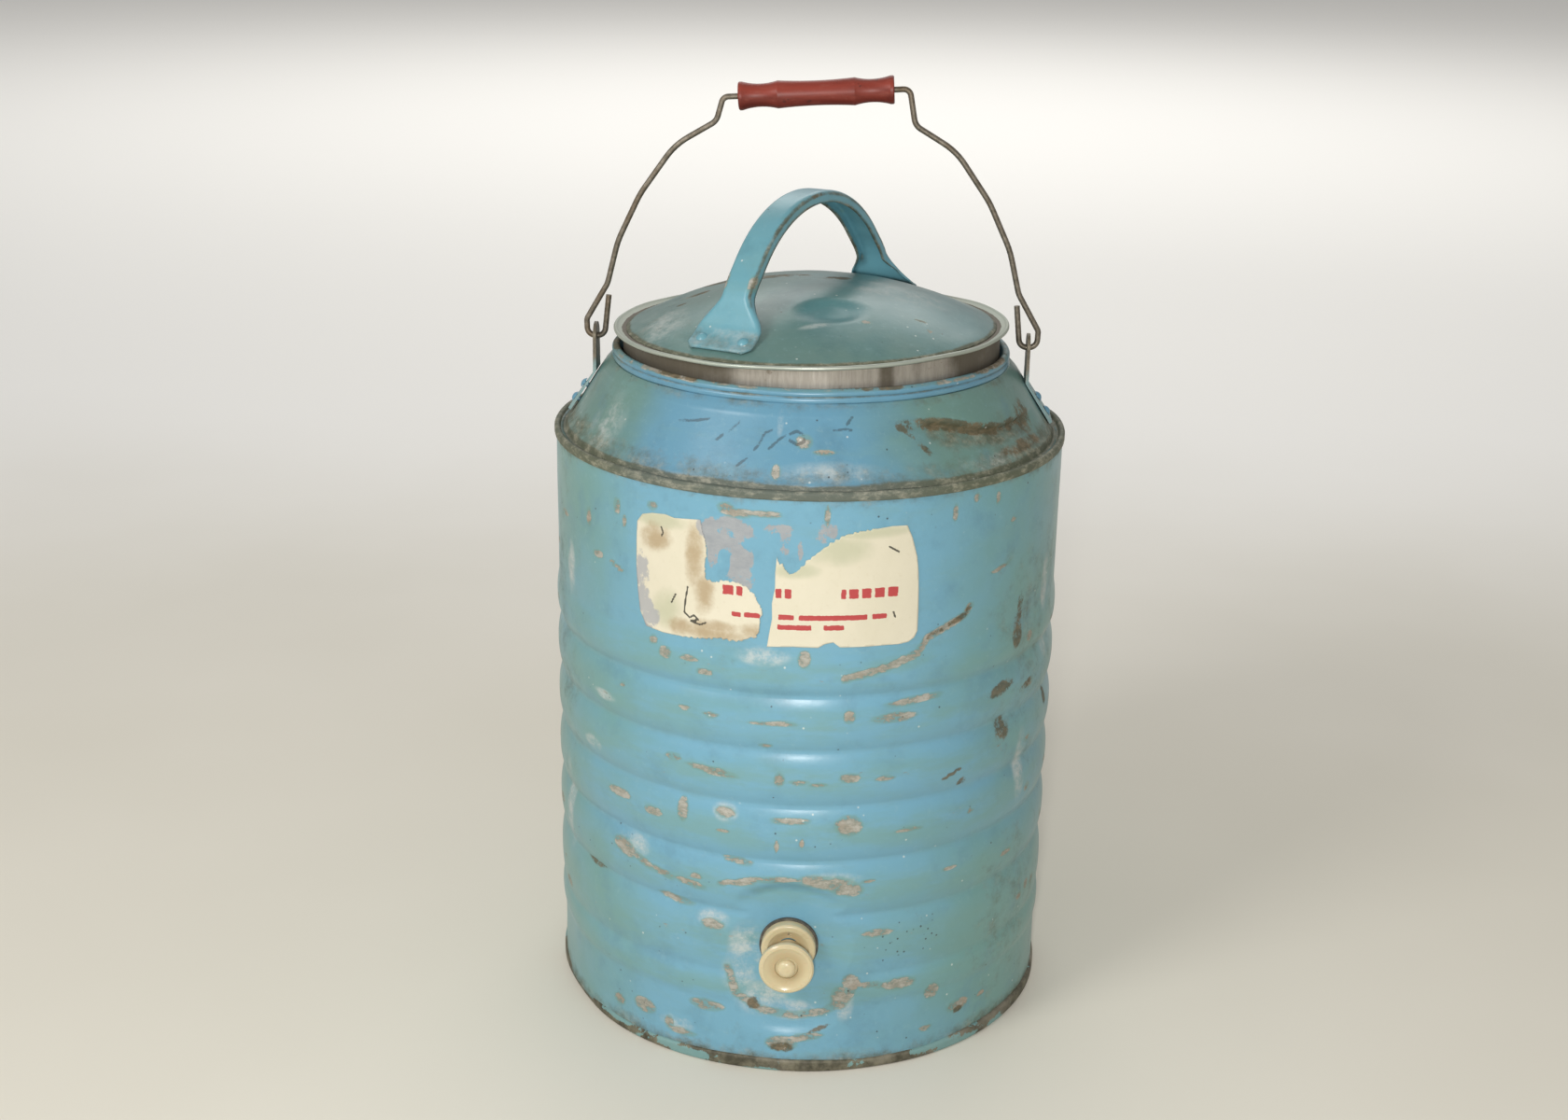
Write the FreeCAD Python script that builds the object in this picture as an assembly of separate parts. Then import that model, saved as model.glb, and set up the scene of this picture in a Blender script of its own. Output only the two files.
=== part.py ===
import FreeCAD, Part
import math
import os

# Insulated sheet-metal drinks cooler with a push-button tap, a lift-off lid with a strap
# handle, and a wire bail with a turned wooden grip.
# Millimetres.  Origin: centre of the resting plane.  +Z up, the tap points along -Y,
# the bail swings about an axis along X.

# ---------------------------------------------------------------- driving dimensions
SHEET = 0.6                 # gauge of the galvanised sheet
BASE_R = 146.3              # outside of the rolled base rim
SEAM_R = 146.0              # outside of the rolled seam under the shoulder
WALL_R = 144.6              # plain barrel wall, outside
RIB_R = 145.9               # crest of a barrel rib, outside
VALLEY_R = 142.6            # bottom of the groove between two ribs, outside
GROOVES_Z = (58.0, 96.0, 129.0, 162.0, 194.0, 226.0)
FIRST_RIB_LOW_Z = 40.0      # the lowest rib swells from here to the first groove
FIRST_RIB_CREST_Z = 50.0
LAST_RIB_CREST_UP = 12.0    # crest and end of the topmost rib, above the last groove
LAST_RIB_END_UP = 25.0
BARREL_LOW_Z = 3.0
BARREL_TOP_Z = 336.8
BASE_RIM_HIGH = 5.6
BASE_RIM_WIDE = 3.6
BASE_PAN_Z = 7.0
SEAM_LOW_Z = 334.0
SEAM_TOP_Z = 339.0
SEAM_WIDE = 3.4
SHOULDER_FOOT_R = 137.8
SHOULDER_FOOT_Z = 340.5
SHOULDER_BEND_R = 117.5
SHOULDER_BEND_Z = 371.5
NECK_R = 112.6              # outside of the rolled neck rim
NECK_LOW_Z = 376.7
NECK_TOP_Z = 384.0
LINER_R = 108.4             # inside of the tank
LINER_FLOOR_Z = 30.0
FLOOR_FLANGE_HIGH = 4.4     # turned-up edge of the tank floor
LEDGE_R = 105.0             # inside of the bead that the lid rests on
LEDGE_Z = 362.0
LEDGE_HALF = 3.4

PANEL_Y = 141.3             # flat round panel pressed into the barrel behind the tap
PANEL_R = 46.0
PANEL_Z = 70.0
TAP_Z = 78.5

LID_TILT_DEG = 1.29         # the lid sits a little crooked, +X side up
LID_PIVOT_Z = 390.0
BRIM_R = 111.6
BRIM_Z = 394.65
DOME_R = 104.1
DOME_HIGH = 26.0
DOME_POWER = 2.2
SKIRT_R = 106.3
SKIRT_LOW_Z = 369.2

HANDLE_TURN_DEG = 28.9      # lid handle, turned from +Y towards +X
HANDLE_SHIFT = -3.0         # the handle sits off centre, towards its front foot
HANDLE_ARCH_R = 82.0
HANDLE_ARCH_Z = 388.0
HANDLE_WIDE = 18.0
HANDLE_FLANGE = 6.5
HANDLE_GAUGE = 1.3
HANDLE_EDGE_R = 1.8
HANDLE_LEG_S = 66.0
HANDLE_FOOT_S = 80.5
HANDLE_TOE_S = 95.0
FOOT_HALF_WIDE = 20.0
FOOT_RIVET_S = 87.0
FOOT_RIVET_HALF = 13.0
RIVET_SHANK_R = 1.5
LID_RIVET_HEAD = (3.3, 1.6)     # radius and height
EAR_RIVET_HEAD = (3.2, 1.8)

BAIL_WIRE_R = 1.6
PIVOT_X = 122.5
PIVOT_Z = 384.3
HOOK_R = 4.9
GRIP_Z = 522.3
GRIP_TILT_DEG = 3.6
GRIP_HALF = 42.5
GRIP_BORE_R = 1.66
GRIP_END_R = 7.7
GRIP_SWELL_R = 7.5
GRIP_SWELL_AT = 21.0
GRIP_WAIST_R = 6.65
EAR_GAUGE = 1.8
EAR_WIDE = 18.0
EAR_TIP_R = 8.0
EAR_HOLE_R = 2.2
EAR_LOW_Z = 342.6
EAR_RIVETS_Z = (355.4, 347.2)
EAR_TAPER_DROP = 18.1       # the strap narrows from this far under the pivot

LABEL_MID_DEG = -5.2        # from the tap towards +X
LABEL_SWEEP_DEG = 63.0
LABEL_LOW_Z = 253.0
LABEL_HIGH_Z = 320.0
LABEL_THICK = 0.3

# tap, measured outwards from the barrel's axis along -Y
GASKET_THICK = 2.0
GASKET_R = 16.2
COLLAR_R = 15.0
COLLAR_LONG = 5.7
RECESS_R = 11.4
RECESS_DEEP = 3.0
CHAMBER_R = 7.2
CHAMBER_DROP = 1.5
CHAMBER_FRONT = 156.5
SPOUT_R = 6.0
SPOUT_BORE_R = 4.6
SPOUT_Y = 150.5
SPOUT_LOW_Z = 57.0
SHANK_R = 9.5
SHANK_BORE_R = 6.0
SHANK_END = 98.0
SHANK_HOLE_CLEAR = 0.3
STEM_R = 2.0
STEM_CLEAR = 0.06
BUTTON_R = 14.8
BUTTON_BACK = 165.6
BUTTON_FRONT = 169.6
NUB_R = 5.0
NUB_RING_R = 6.4
SPRING_WIRE_R = 0.45
SPRING_COIL_R = 3.6
SPRING_TURNS = 4
NUT_BACK = 103.0
NUT_ACROSS = 28.0
NUT_THICK = 4.4
SLEEVE_WALL = 3.0
STOPPER_LONG = 6.5

# ---------------------------------------------------------------- derived values
WALL_IN_R = WALL_R - SHEET
LINER_OUT_R = LINER_R + SHEET
INSULATION_R = VALLEY_R - SHEET - 0.6
COLLAR_BACK = PANEL_Y + GASKET_THICK
COLLAR_FRONT = COLLAR_BACK + COLLAR_LONG
RECESS_FLOOR = COLLAR_FRONT - RECESS_DEEP
CHAMBER_Z = TAP_Z - CHAMBER_DROP
SLEEVE_R = SHANK_R + SLEEVE_WALL
STOPPER_FACE = SHANK_END - 0.3
SHOULDER_SLOPE = math.atan2(SHOULDER_FOOT_R - SHOULDER_BEND_R, SHOULDER_BEND_Z - SHOULDER_FOOT_Z)

X_AXIS = FreeCAD.Vector(1, 0, 0)
Y_AXIS = FreeCAD.Vector(0, 1, 0)
Z_AXIS = FreeCAD.Vector(0, 0, 1)
ORIGIN = FreeCAD.Vector(0, 0, 0)


def vec(x, y, z):
    return FreeCAD.Vector(x, y, z)


# ---------------------------------------------------------------- shape helpers
def face_from_path(steps, to_vector):
    """Close an outline.  A step is (a, b) for a corner or (a, b, a2, b2) for an arc that
    passes through (a, b) and ends at (a2, b2)."""
    start = to_vector(*steps[0])
    here = start
    edges = []
    for step in list(steps[1:]) + [steps[0]]:
        end = to_vector(*step[-2:])
        if len(step) == 4:
            edges.append(Part.Arc(here, to_vector(*step[:2]), end).toShape())
        elif here.distanceToPoint(end) > 1e-6:
            edges.append(Part.LineSegment(here, end).toShape())
        here = end
    return Part.Face(Part.Wire(edges))


def turned(steps):
    """Solid of revolution about Z from an outline of (radius, z) steps."""
    return face_from_path(steps, lambda r, z: vec(r, 0, z)).revolve(ORIGIN, Z_AXIS, 360)


def ring(r_in, r_out, z_low, z_high):
    return turned([(r_in, z_low), (r_out, z_low), (r_out, z_high), (r_in, z_high)])


def rod_y(radius, near, far, z=TAP_Z):
    """Cylinder along Y; both ends are given as distances outwards along -Y."""
    return Part.makeCylinder(radius, far - near, vec(0, -near, z), vec(0, -1, 0))


def rounded_path(points, radii):
    """Wire of straight runs joined by tangent arcs of the given radii at the inner points."""
    edges = []
    here = points[0]
    for before, corner, after, radius in zip(points, points[1:], points[2:], radii):
        to_before = (before - corner).normalize()
        to_after = (after - corner).normalize()
        half_angle = to_before.getAngle(to_after) / 2
        reach = radius / math.tan(half_angle)
        bisector = (to_before + to_after).normalize()
        centre = corner + bisector * (radius / math.sin(half_angle))
        arc_start = corner + to_before * reach
        arc_end = corner + to_after * reach
        edges.append(Part.LineSegment(here, arc_start).toShape())
        edges.append(Part.Arc(arc_start, centre - bisector * radius, arc_end).toShape())
        here = arc_end
    edges.append(Part.LineSegment(here, points[-1]).toShape())
    return Part.Wire(edges)


def wire_rod(path, radius):
    """Round rod swept along a path."""
    first = path.Edges[0]
    direction = first.tangentAt(first.FirstParameter)
    start = first.valueAt(first.FirstParameter)
    section = Part.Wire([Part.Circle(start, direction, radius).toShape()])
    return path.makePipeShell([section], True, False)


def snap_rivet(point, outward, head, shank_long):
    """Round-headed rivet: head outside the surface point, shank driven inwards."""
    head_r, head_high = head
    sphere_r = (head_r ** 2 + head_high ** 2) / (2 * head_high)
    ball_centre = point - outward * (sphere_r - head_high)
    ball = Part.makeSphere(sphere_r, ball_centre)
    keep = Part.makeCylinder(head_r + 1, head_high + 1, point, outward)
    shank = Part.makeCylinder(RIVET_SHANK_R, shank_long + 0.4, point + outward * 0.4, outward * -1)
    return ball.common(keep).fuse(shank).removeSplitter()


def mirror_x(shape):
    return shape.mirror(ORIGIN, X_AXIS)


def tilt_lid(shape):
    """Set a lid piece, drawn level, at its crooked seat."""
    seated = shape.copy()
    seated.rotate(vec(0, 0, LID_PIVOT_Z), Y_AXIS, -LID_TILT_DEG)
    return seated


# ---------------------------------------------------------------- barrel and shoulder
def barrel_outline(inset):
    """Ribbed wall from bottom to top as steps, moved inwards by inset."""
    steps = [(WALL_R - inset, BARREL_LOW_Z)]
    steps.append((WALL_R - inset, FIRST_RIB_LOW_Z))
    steps.append((RIB_R - inset, FIRST_RIB_CREST_Z, VALLEY_R - inset, GROOVES_Z[0]))
    for low, high in zip(GROOVES_Z, GROOVES_Z[1:]):
        steps.append((RIB_R - inset, (low + high) / 2, VALLEY_R - inset, high))
    crest_z = GROOVES_Z[-1] + LAST_RIB_CREST_UP
    end_z = GROOVES_Z[-1] + LAST_RIB_END_UP
    steps.append((RIB_R - inset, crest_z, WALL_R - inset, end_z))
    steps.append((WALL_R - inset, BARREL_TOP_Z))
    return steps


def barrel_block(inset):
    """Filled barrel with the flat tap panel, moved inwards by inset."""
    block = turned([(0, BARREL_LOW_Z)] + barrel_outline(inset) + [(0, BARREL_TOP_Z)])
    return block.cut(rod_y(PANEL_R + inset, PANEL_Y - inset, BASE_R + 5, z=PANEL_Z))


def make_barrel_shell():
    shell = barrel_block(0.0).cut(barrel_block(SHEET))
    return shell.cut(rod_y(SHANK_R + SHANK_HOLE_CLEAR, 120, 160))


def make_base_pan():
    """Bottom pan whose rolled rim grips the barrel and stands on a flat ring."""
    rim_in = BASE_R - BASE_RIM_WIDE
    pan = turned([
        (0, BASE_PAN_Z), (rim_in - 3, BASE_PAN_Z), (rim_in, BASE_PAN_Z - 2.5), (rim_in, 1.0),
        (rim_in + 0.3, 0.3, rim_in + 1.0, 0), (BASE_R - 1.2, 0),
        (BASE_R - 0.35, 0.35, BASE_R, 1.2), (BASE_R, BASE_RIM_HIGH - 1.4),
        (BASE_R - 0.3, BASE_RIM_HIGH - 0.3, WALL_R, BASE_RIM_HIGH),
        (WALL_IN_R, BASE_RIM_HIGH), (WALL_IN_R - 0.4, BASE_PAN_Z + SHEET),
        (0, BASE_PAN_Z + SHEET)])
    return pan.cut(barrel_shell)


def shoulder_skin(inset):
    """Shoulder line from the trough up to the neck rim, moved square to the slope."""
    out = inset * math.cos(SHOULDER_SLOPE)
    up = inset * math.sin(SHOULDER_SLOPE)
    return [(SHOULDER_FOOT_R + 1.2 - inset, SEAM_LOW_Z + 2.5 - inset),
            (SHOULDER_FOOT_R - out, SHOULDER_FOOT_Z - up),
            (SHOULDER_BEND_R - out, SHOULDER_BEND_Z - up),
            (NECK_R - 0.4 - inset, NECK_LOW_Z)]


def make_shoulder():
    skin = shoulder_skin(0.0)
    lining = shoulder_skin(SHEET)
    ring_in = SEAM_R - SEAM_WIDE
    floor = SEAM_LOW_Z + 2.5
    shape = turned([
        lining[0], (ring_in + 0.4, floor - SHEET), (ring_in + 0.4, SEAM_LOW_Z),
        (SEAM_R - 0.7, SEAM_LOW_Z), (SEAM_R, SEAM_LOW_Z + 0.8), (SEAM_R, SEAM_TOP_Z - 1.4),
        (SEAM_R - SEAM_WIDE / 2, SEAM_TOP_Z, ring_in, SEAM_TOP_Z - 1.4), (ring_in, floor),
        skin[0], skin[1], skin[2], skin[3], lining[3], lining[2], lining[1]])
    return shape.cut(barrel_shell)


def make_neck_rim():
    """Double-beaded rolled rim that joins the shoulder to the tank."""
    middle = NECK_LOW_Z + 3.3
    return turned([
        (LINER_R, NECK_LOW_Z), (NECK_R - 0.5, NECK_LOW_Z),
        (NECK_R - 0.1, NECK_LOW_Z + 1.6, NECK_R - 0.8, middle),
        (NECK_R, (middle + NECK_TOP_Z) / 2, NECK_R - 1.0, NECK_TOP_Z - 0.7),
        ((NECK_R + LINER_R) / 2, NECK_TOP_Z, LINER_R, NECK_TOP_Z - 0.9)])


# ---------------------------------------------------------------- tank and insulation
def make_liner_wall():
    low, high = LEDGE_Z - LEDGE_HALF, LEDGE_Z + LEDGE_HALF
    wall = turned([
        (LINER_R, LINER_FLOOR_Z), (LINER_OUT_R, LINER_FLOOR_Z), (LINER_OUT_R, low - 0.3),
        (LEDGE_R + SHEET, LEDGE_Z, LINER_OUT_R, high + 0.3), (LINER_OUT_R, NECK_LOW_Z),
        (LINER_R, NECK_LOW_Z), (LINER_R, high), (LEDGE_R, LEDGE_Z, LINER_R, low)])
    return wall.cut(rod_y(SHANK_R + SHANK_HOLE_CLEAR, 90, 120))


def make_liner_floor():
    """Pressed tank floor with a turned-up soldering flange."""
    floor_r = LINER_R - 0.02
    return turned([
        (0, LINER_FLOOR_Z), (floor_r - 6, LINER_FLOOR_Z), (floor_r, LINER_FLOOR_Z + 3),
        (floor_r, LINER_FLOOR_Z + FLOOR_FLANGE_HIGH),
        (floor_r - SHEET, LINER_FLOOR_Z + FLOOR_FLANGE_HIGH),
        (floor_r - SHEET, LINER_FLOOR_Z + 3.4), (floor_r - 6.3, LINER_FLOOR_Z + SHEET),
        (0, LINER_FLOOR_Z + SHEET)])


def make_wall_insulation():
    low = LINER_FLOOR_Z
    block = turned([
        (LINER_OUT_R, low), (INSULATION_R, low), (INSULATION_R, SEAM_LOW_Z - 6),
        (SHOULDER_FOOT_R - 3.5, SEAM_LOW_Z + 0.5), (SHOULDER_BEND_R - 1.5, SHOULDER_BEND_Z - 4.5),
        (LINER_OUT_R, SHOULDER_BEND_Z - 4.5)])
    block = block.cut(rod_y(PANEL_R + 5, PANEL_Y - SHEET - 0.5, 160, z=PANEL_Z))
    return block.cut(rod_y(SLEEVE_R, 100, 160)).cut(ear_rivets)


def make_floor_insulation():
    return turned([
        (0, BASE_PAN_Z + SHEET), (INSULATION_R - 1, BASE_PAN_Z + SHEET),
        (INSULATION_R - 1, LINER_FLOOR_Z), (0, LINER_FLOOR_Z)])


# ---------------------------------------------------------------- label
def make_label():
    """Paper label wrapped on the plain band of the barrel."""
    band = ring(WALL_R, WALL_R + LABEL_THICK, LABEL_LOW_Z, LABEL_HIGH_Z)
    half = LABEL_SWEEP_DEG / 2
    reach = SEAM_R * 1.5
    ends = [math.radians(LABEL_MID_DEG + side * half) for side in (-1, 1)]
    corners = [vec(0, 0, LABEL_LOW_Z - 1)]
    corners += [vec(reach * math.sin(a), -reach * math.cos(a), LABEL_LOW_Z - 1) for a in ends]
    wedge = Part.Face(Part.makePolygon(corners + corners[:1]))
    return band.common(wedge.extrude(vec(0, 0, LABEL_HIGH_Z - LABEL_LOW_Z + 2)))


# ---------------------------------------------------------------- tap
def make_tap_body():
    body = rod_y(COLLAR_R, COLLAR_BACK, COLLAR_FRONT)
    outer_edges = [e for e in body.Edges if abs(e.CenterOfMass.y + COLLAR_FRONT) < 0.01]
    body = body.makeFillet(1.6, outer_edges)
    body = body.cut(rod_y(RECESS_R, RECESS_FLOOR, COLLAR_FRONT + 1))
    chamber = rod_y(CHAMBER_R, RECESS_FLOOR - 1, CHAMBER_FRONT, z=CHAMBER_Z)
    spout = Part.makeCylinder(SPOUT_R, CHAMBER_Z - SPOUT_LOW_Z, vec(0, -SPOUT_Y, SPOUT_LOW_Z))
    shank = rod_y(SHANK_R, SHANK_END, COLLAR_BACK + 1)
    body = body.fuse([chamber, spout, shank])
    body = body.cut(rod_y(CHAMBER_R - 1.5, RECESS_FLOOR, CHAMBER_FRONT - 2, z=CHAMBER_Z))
    body = body.cut(rod_y(SHANK_BORE_R, SHANK_END - 1, RECESS_FLOOR + 1))
    bore_high = CHAMBER_Z - SPOUT_LOW_Z + 1
    body = body.cut(Part.makeCylinder(SPOUT_BORE_R, bore_high, vec(0, -SPOUT_Y, SPOUT_LOW_Z - 1)))
    body = body.cut(rod_y(STEM_R + STEM_CLEAR, CHAMBER_FRONT - 3, CHAMBER_FRONT + 1))
    slit = Part.makeBox(0.9, 2.5, 3.2, vec(-0.45, -RECESS_FLOOR - 1.0, TAP_Z + 7.6))
    return body.cut(slit).removeSplitter()


def make_outer_gasket():
    return rod_y(GASKET_R, PANEL_Y, COLLAR_BACK).cut(rod_y(SHANK_R + 0.05, 130, 160))


def make_tap_sleeve():
    """Spacer tube that keeps barrel and tank apart around the tap's shank."""
    tube = rod_y(SLEEVE_R, 90, PANEL_Y - SHEET).cut(rod_y(SHANK_R + 0.4, 80, 160))
    tank = Part.makeCylinder(LINER_OUT_R, SEAM_LOW_Z, ORIGIN)
    return tube.cut(tank)


def make_inner_gasket():
    """Rubber washer moulded to the curve of the tank wall."""
    washer = rod_y(GASKET_R - 1, NUT_BACK, 120).cut(rod_y(SHANK_R + 0.05, 90, 125))
    tank = Part.makeCylinder(LINER_R - 0.02, SEAM_LOW_Z, ORIGIN)
    return washer.common(tank)


def make_tap_nut():
    """Hexagonal lock nut on the shank inside the tank."""
    corner_r = NUT_ACROSS / 2 / math.cos(math.pi / 6)
    corners = []
    for i in range(7):
        a = math.radians(60 * i)
        corners.append(vec(corner_r * math.cos(a), -NUT_BACK, TAP_Z + corner_r * math.sin(a)))
    nut = Part.Face(Part.makePolygon(corners)).extrude(vec(0, NUT_THICK, 0))
    return nut.cut(rod_y(SHANK_R + 0.02, 90, 120))


def make_button():
    """Round push button: dished face with a ring recess and a raised nub."""
    hub = BUTTON_BACK - 0.2
    outline = [
        (STEM_R, hub), (NUB_R, hub), (NUB_R, BUTTON_BACK), (BUTTON_R - 0.8, BUTTON_BACK),
        (BUTTON_R, BUTTON_BACK + 0.9), (BUTTON_R, BUTTON_FRONT - 0.9),
        (BUTTON_R - 0.9, BUTTON_FRONT), (BUTTON_R - 2.2, BUTTON_FRONT),
        (NUB_RING_R + 3.0, BUTTON_FRONT - 1.3, NUB_RING_R, BUTTON_FRONT - 1.5),
        (NUB_RING_R - 0.3, BUTTON_FRONT - 2.3), (NUB_R, BUTTON_FRONT - 2.3),
        (NUB_R, BUTTON_FRONT - 0.6),
        (NUB_R - 1.1, BUTTON_FRONT + 0.8, NUB_R - 3.6, BUTTON_FRONT + 1.4),
        (0, BUTTON_FRONT + 1.4), (0, BUTTON_BACK + 1.6), (STEM_R, BUTTON_BACK + 1.6)]
    face = face_from_path(outline, lambda r, y: vec(r, -y, TAP_Z))
    return face.revolve(vec(0, 0, TAP_Z), Y_AXIS, 360)


def make_plunger():
    """Plunger rod from the button through the tap to the valve stopper, with its end head."""
    rod = rod_y(STEM_R, STOPPER_FACE - STOPPER_LONG, BUTTON_BACK + 1.6)
    end = STOPPER_FACE - STOPPER_LONG
    return rod.fuse(rod_y(1.8 * STEM_R, end - 1.5, end)).removeSplitter()


def make_stopper():
    """Rubber valve stopper that closes the inner end of the shank."""
    outline = [
        (STEM_R, STOPPER_FACE), (SHANK_R - 0.4, STOPPER_FACE), (SHANK_R - 0.4, STOPPER_FACE - 2.5),
        (SHANK_R - 3.0, STOPPER_FACE - STOPPER_LONG), (STEM_R, STOPPER_FACE - STOPPER_LONG)]
    face = face_from_path(outline, lambda r, y: vec(r, -y, TAP_Z))
    return face.revolve(vec(0, 0, TAP_Z), Y_AXIS, 360)


def make_return_spring():
    """Open coil spring round the plunger, between the tap body and the button."""
    gap = BUTTON_BACK - 0.2 - CHAMBER_FRONT - 2 * SPRING_WIRE_R - 0.1
    start = CHAMBER_FRONT + SPRING_WIRE_R + 0.05
    corners_per_turn = 8
    count = SPRING_TURNS * corners_per_turn
    half_step = math.pi / corners_per_turn
    corner_r = SPRING_COIL_R / math.cos(half_step)
    points = []
    for i in range(count + 1):
        a = 2 * half_step * i
        out = start + gap * i / count
        points.append(vec(corner_r * math.cos(a), -out, TAP_Z + corner_r * math.sin(a)))
    bends = [SPRING_COIL_R * 0.97] * (count - 1)
    return wire_rod(rounded_path(points, bends), SPRING_WIRE_R)


# ---------------------------------------------------------------- lid
def dome_z(r):
    return BRIM_Z + DOME_HIGH * (1 - (r / DOME_R) ** DOME_POWER)


def dome_face(drop, r_max):
    """Outline of everything under the dome surface, lowered by drop, out to r_max."""
    count = 8
    points = [vec(r_max * i / count, 0, dome_z(r_max * i / count) - drop) for i in range(count + 1)]
    curve = Part.BSplineCurve()
    curve.interpolate(points)
    low = BRIM_Z - 40
    edges = [curve.toShape()]
    corners = [points[-1], vec(r_max, 0, low), vec(0, 0, low), points[0]]
    for a, b in zip(corners, corners[1:]):
        edges.append(Part.LineSegment(a, b).toShape())
    return Part.Face(Part.Wire(edges))


def dome_block(drop, r_max):
    return dome_face(drop, r_max).revolve(ORIGIN, Z_AXIS, 360)


def make_lid_dome():
    dome = dome_block(0.0, DOME_R).cut(dome_block(SHEET, DOME_R + 1))
    return dome.cut(lid_rivets_level)


def make_lid_skirt():
    """Bare metal plug band with the outward brim that carries the dome's edge."""
    flange_z = BRIM_Z - 2 * SHEET - 0.2
    return turned([
        (SKIRT_R - SHEET, SKIRT_LOW_Z), (SKIRT_R, SKIRT_LOW_Z), (SKIRT_R, flange_z),
        (BRIM_R - 1.2, flange_z + 0.6), (BRIM_R, flange_z + 1.6, BRIM_R - 1.2, flange_z + 2.8),
        (SKIRT_R - 0.6, flange_z + SHEET), (DOME_R - 3.0, flange_z + SHEET),
        (DOME_R - 3.0, flange_z), (SKIRT_R - SHEET, flange_z)])


def make_lid_pan():
    """Inner bottom of the lid, a shallow pressed tray inside the skirt."""
    pan_r = SKIRT_R - SHEET - 0.02
    return turned([
        (0, SKIRT_LOW_Z + 3), (pan_r - 10, SKIRT_LOW_Z + 3), (pan_r - 4, SKIRT_LOW_Z + 0.5),
        (pan_r, SKIRT_LOW_Z + 0.5), (pan_r, SKIRT_LOW_Z + 8), (pan_r - SHEET, SKIRT_LOW_Z + 8),
        (pan_r - SHEET, SKIRT_LOW_Z + 1.3), (pan_r - 3.6, SKIRT_LOW_Z + 1.3),
        (pan_r - 9.7, SKIRT_LOW_Z + 3 + SHEET), (0, SKIRT_LOW_Z + 3 + SHEET)])


def make_lid_insulation():
    core_r = SKIRT_R - SHEET - 7
    core = dome_block(SHEET + 1.2, core_r)
    above = Part.makeCylinder(core_r + 1, 100, vec(0, 0, SKIRT_LOW_Z + 3 + SHEET))
    return core.common(above).cut(lid_rivets_level)


# the handle is drawn in the XZ plane as (distance along the handle, height), then turned
def foot_height(side, s):
    """Tangent line to the dome at the middle of the foot on this side (-1 or 1)."""
    middle = FOOT_RIVET_S + side * HANDLE_SHIFT
    slope = -DOME_HIGH * DOME_POWER / DOME_R * (middle / DOME_R) ** (DOME_POWER - 1)
    return dome_z(middle) + slope * (s - FOOT_RIVET_S) + 0.02


def handle_line(depth):
    """One half of the arch from crown to toe, moved in by depth square to the strap."""
    arch_r = HANDLE_ARCH_R - depth
    lean = math.asin(HANDLE_LEG_S / HANDLE_ARCH_R)
    half = lean / 2
    crown = (0.0, HANDLE_ARCH_Z + arch_r)
    mid = (arch_r * math.sin(half), HANDLE_ARCH_Z + arch_r * math.cos(half))
    end = (arch_r * math.sin(lean), HANDLE_ARCH_Z + arch_r * math.cos(lean))
    knee = (HANDLE_FOOT_S - 1.5 - depth, 422.0)
    return crown, mid, end, knee


def arch_solid(depth, half_wide, bottom):
    """Everything inside the arch line at this depth, down to a level bottom."""
    crown, mid, end, knee = handle_line(depth)
    foot_s = HANDLE_FOOT_S - depth
    flip = [(-end[0], end[1]), (-knee[0], knee[1]), (-foot_s, bottom)]
    steps = [(foot_s, bottom), knee, end, (crown[0], crown[1], flip[0][0], flip[0][1]),
             flip[1], flip[2]]
    face = face_from_path(steps, lambda s, z: vec(s, -half_wide, z))
    return face.extrude(vec(0, 2 * half_wide, 0))


def make_handle_level():
    """Channel-section strap arch on two flared feet, drawn level in the XZ plane."""
    bottom = foot_height(1, HANDLE_FOOT_S) - 8
    half = HANDLE_WIDE / 2
    outer = arch_solid(0.0, half, bottom)
    round_edges = []
    for e in outer.Edges:
        at = e.CenterOfMass
        if abs(abs(at.y) - half) < 0.01 and at.z > bottom + 4:
            round_edges.append(e)
    outer = outer.makeFillet(HANDLE_EDGE_R, round_edges)
    channel = arch_solid(HANDLE_GAUGE, half - HANDLE_GAUGE, bottom - 1)
    opening = arch_solid(HANDLE_FLANGE, half + 1, bottom - 1)
    arch = outer.cut(channel).cut(opening)
    pads = []
    for side in (-1, 1):
        inner_s = HANDLE_FOOT_S - 1.5
        along = vec(side * (HANDLE_TOE_S - inner_s), 0,
                    foot_height(side, HANDLE_TOE_S) - foot_height(side, inner_s)).normalize()
        normal = vec(-along.z * side, 0, abs(along.x)).normalize()
        start = vec(side * inner_s, 0, foot_height(side, inner_s))
        long = HANDLE_TOE_S - inner_s
        wide_at = [(0.0, half - 0.5), (4.0, half + 3), (7.5, FOOT_HALF_WIDE),
                   (long, FOOT_HALF_WIDE - 3)]
        corners = [start + along * d + vec(0, w, 0) for d, w in wide_at]
        corners += [start + along * d - vec(0, w, 0) for d, w in reversed(wide_at)]
        pad = Part.Face(Part.makePolygon(corners + corners[:1])).extrude(normal * HANDLE_GAUGE)
        pads.append(pad)
        below = Part.makeBox(60, 60, 30, vec(-30, -30, -30))
        below.Placement = FreeCAD.Placement(start, FreeCAD.Rotation(Z_AXIS, normal))
        arch = arch.cut(below)
    return arch.fuse(pads).removeSplitter()


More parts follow.
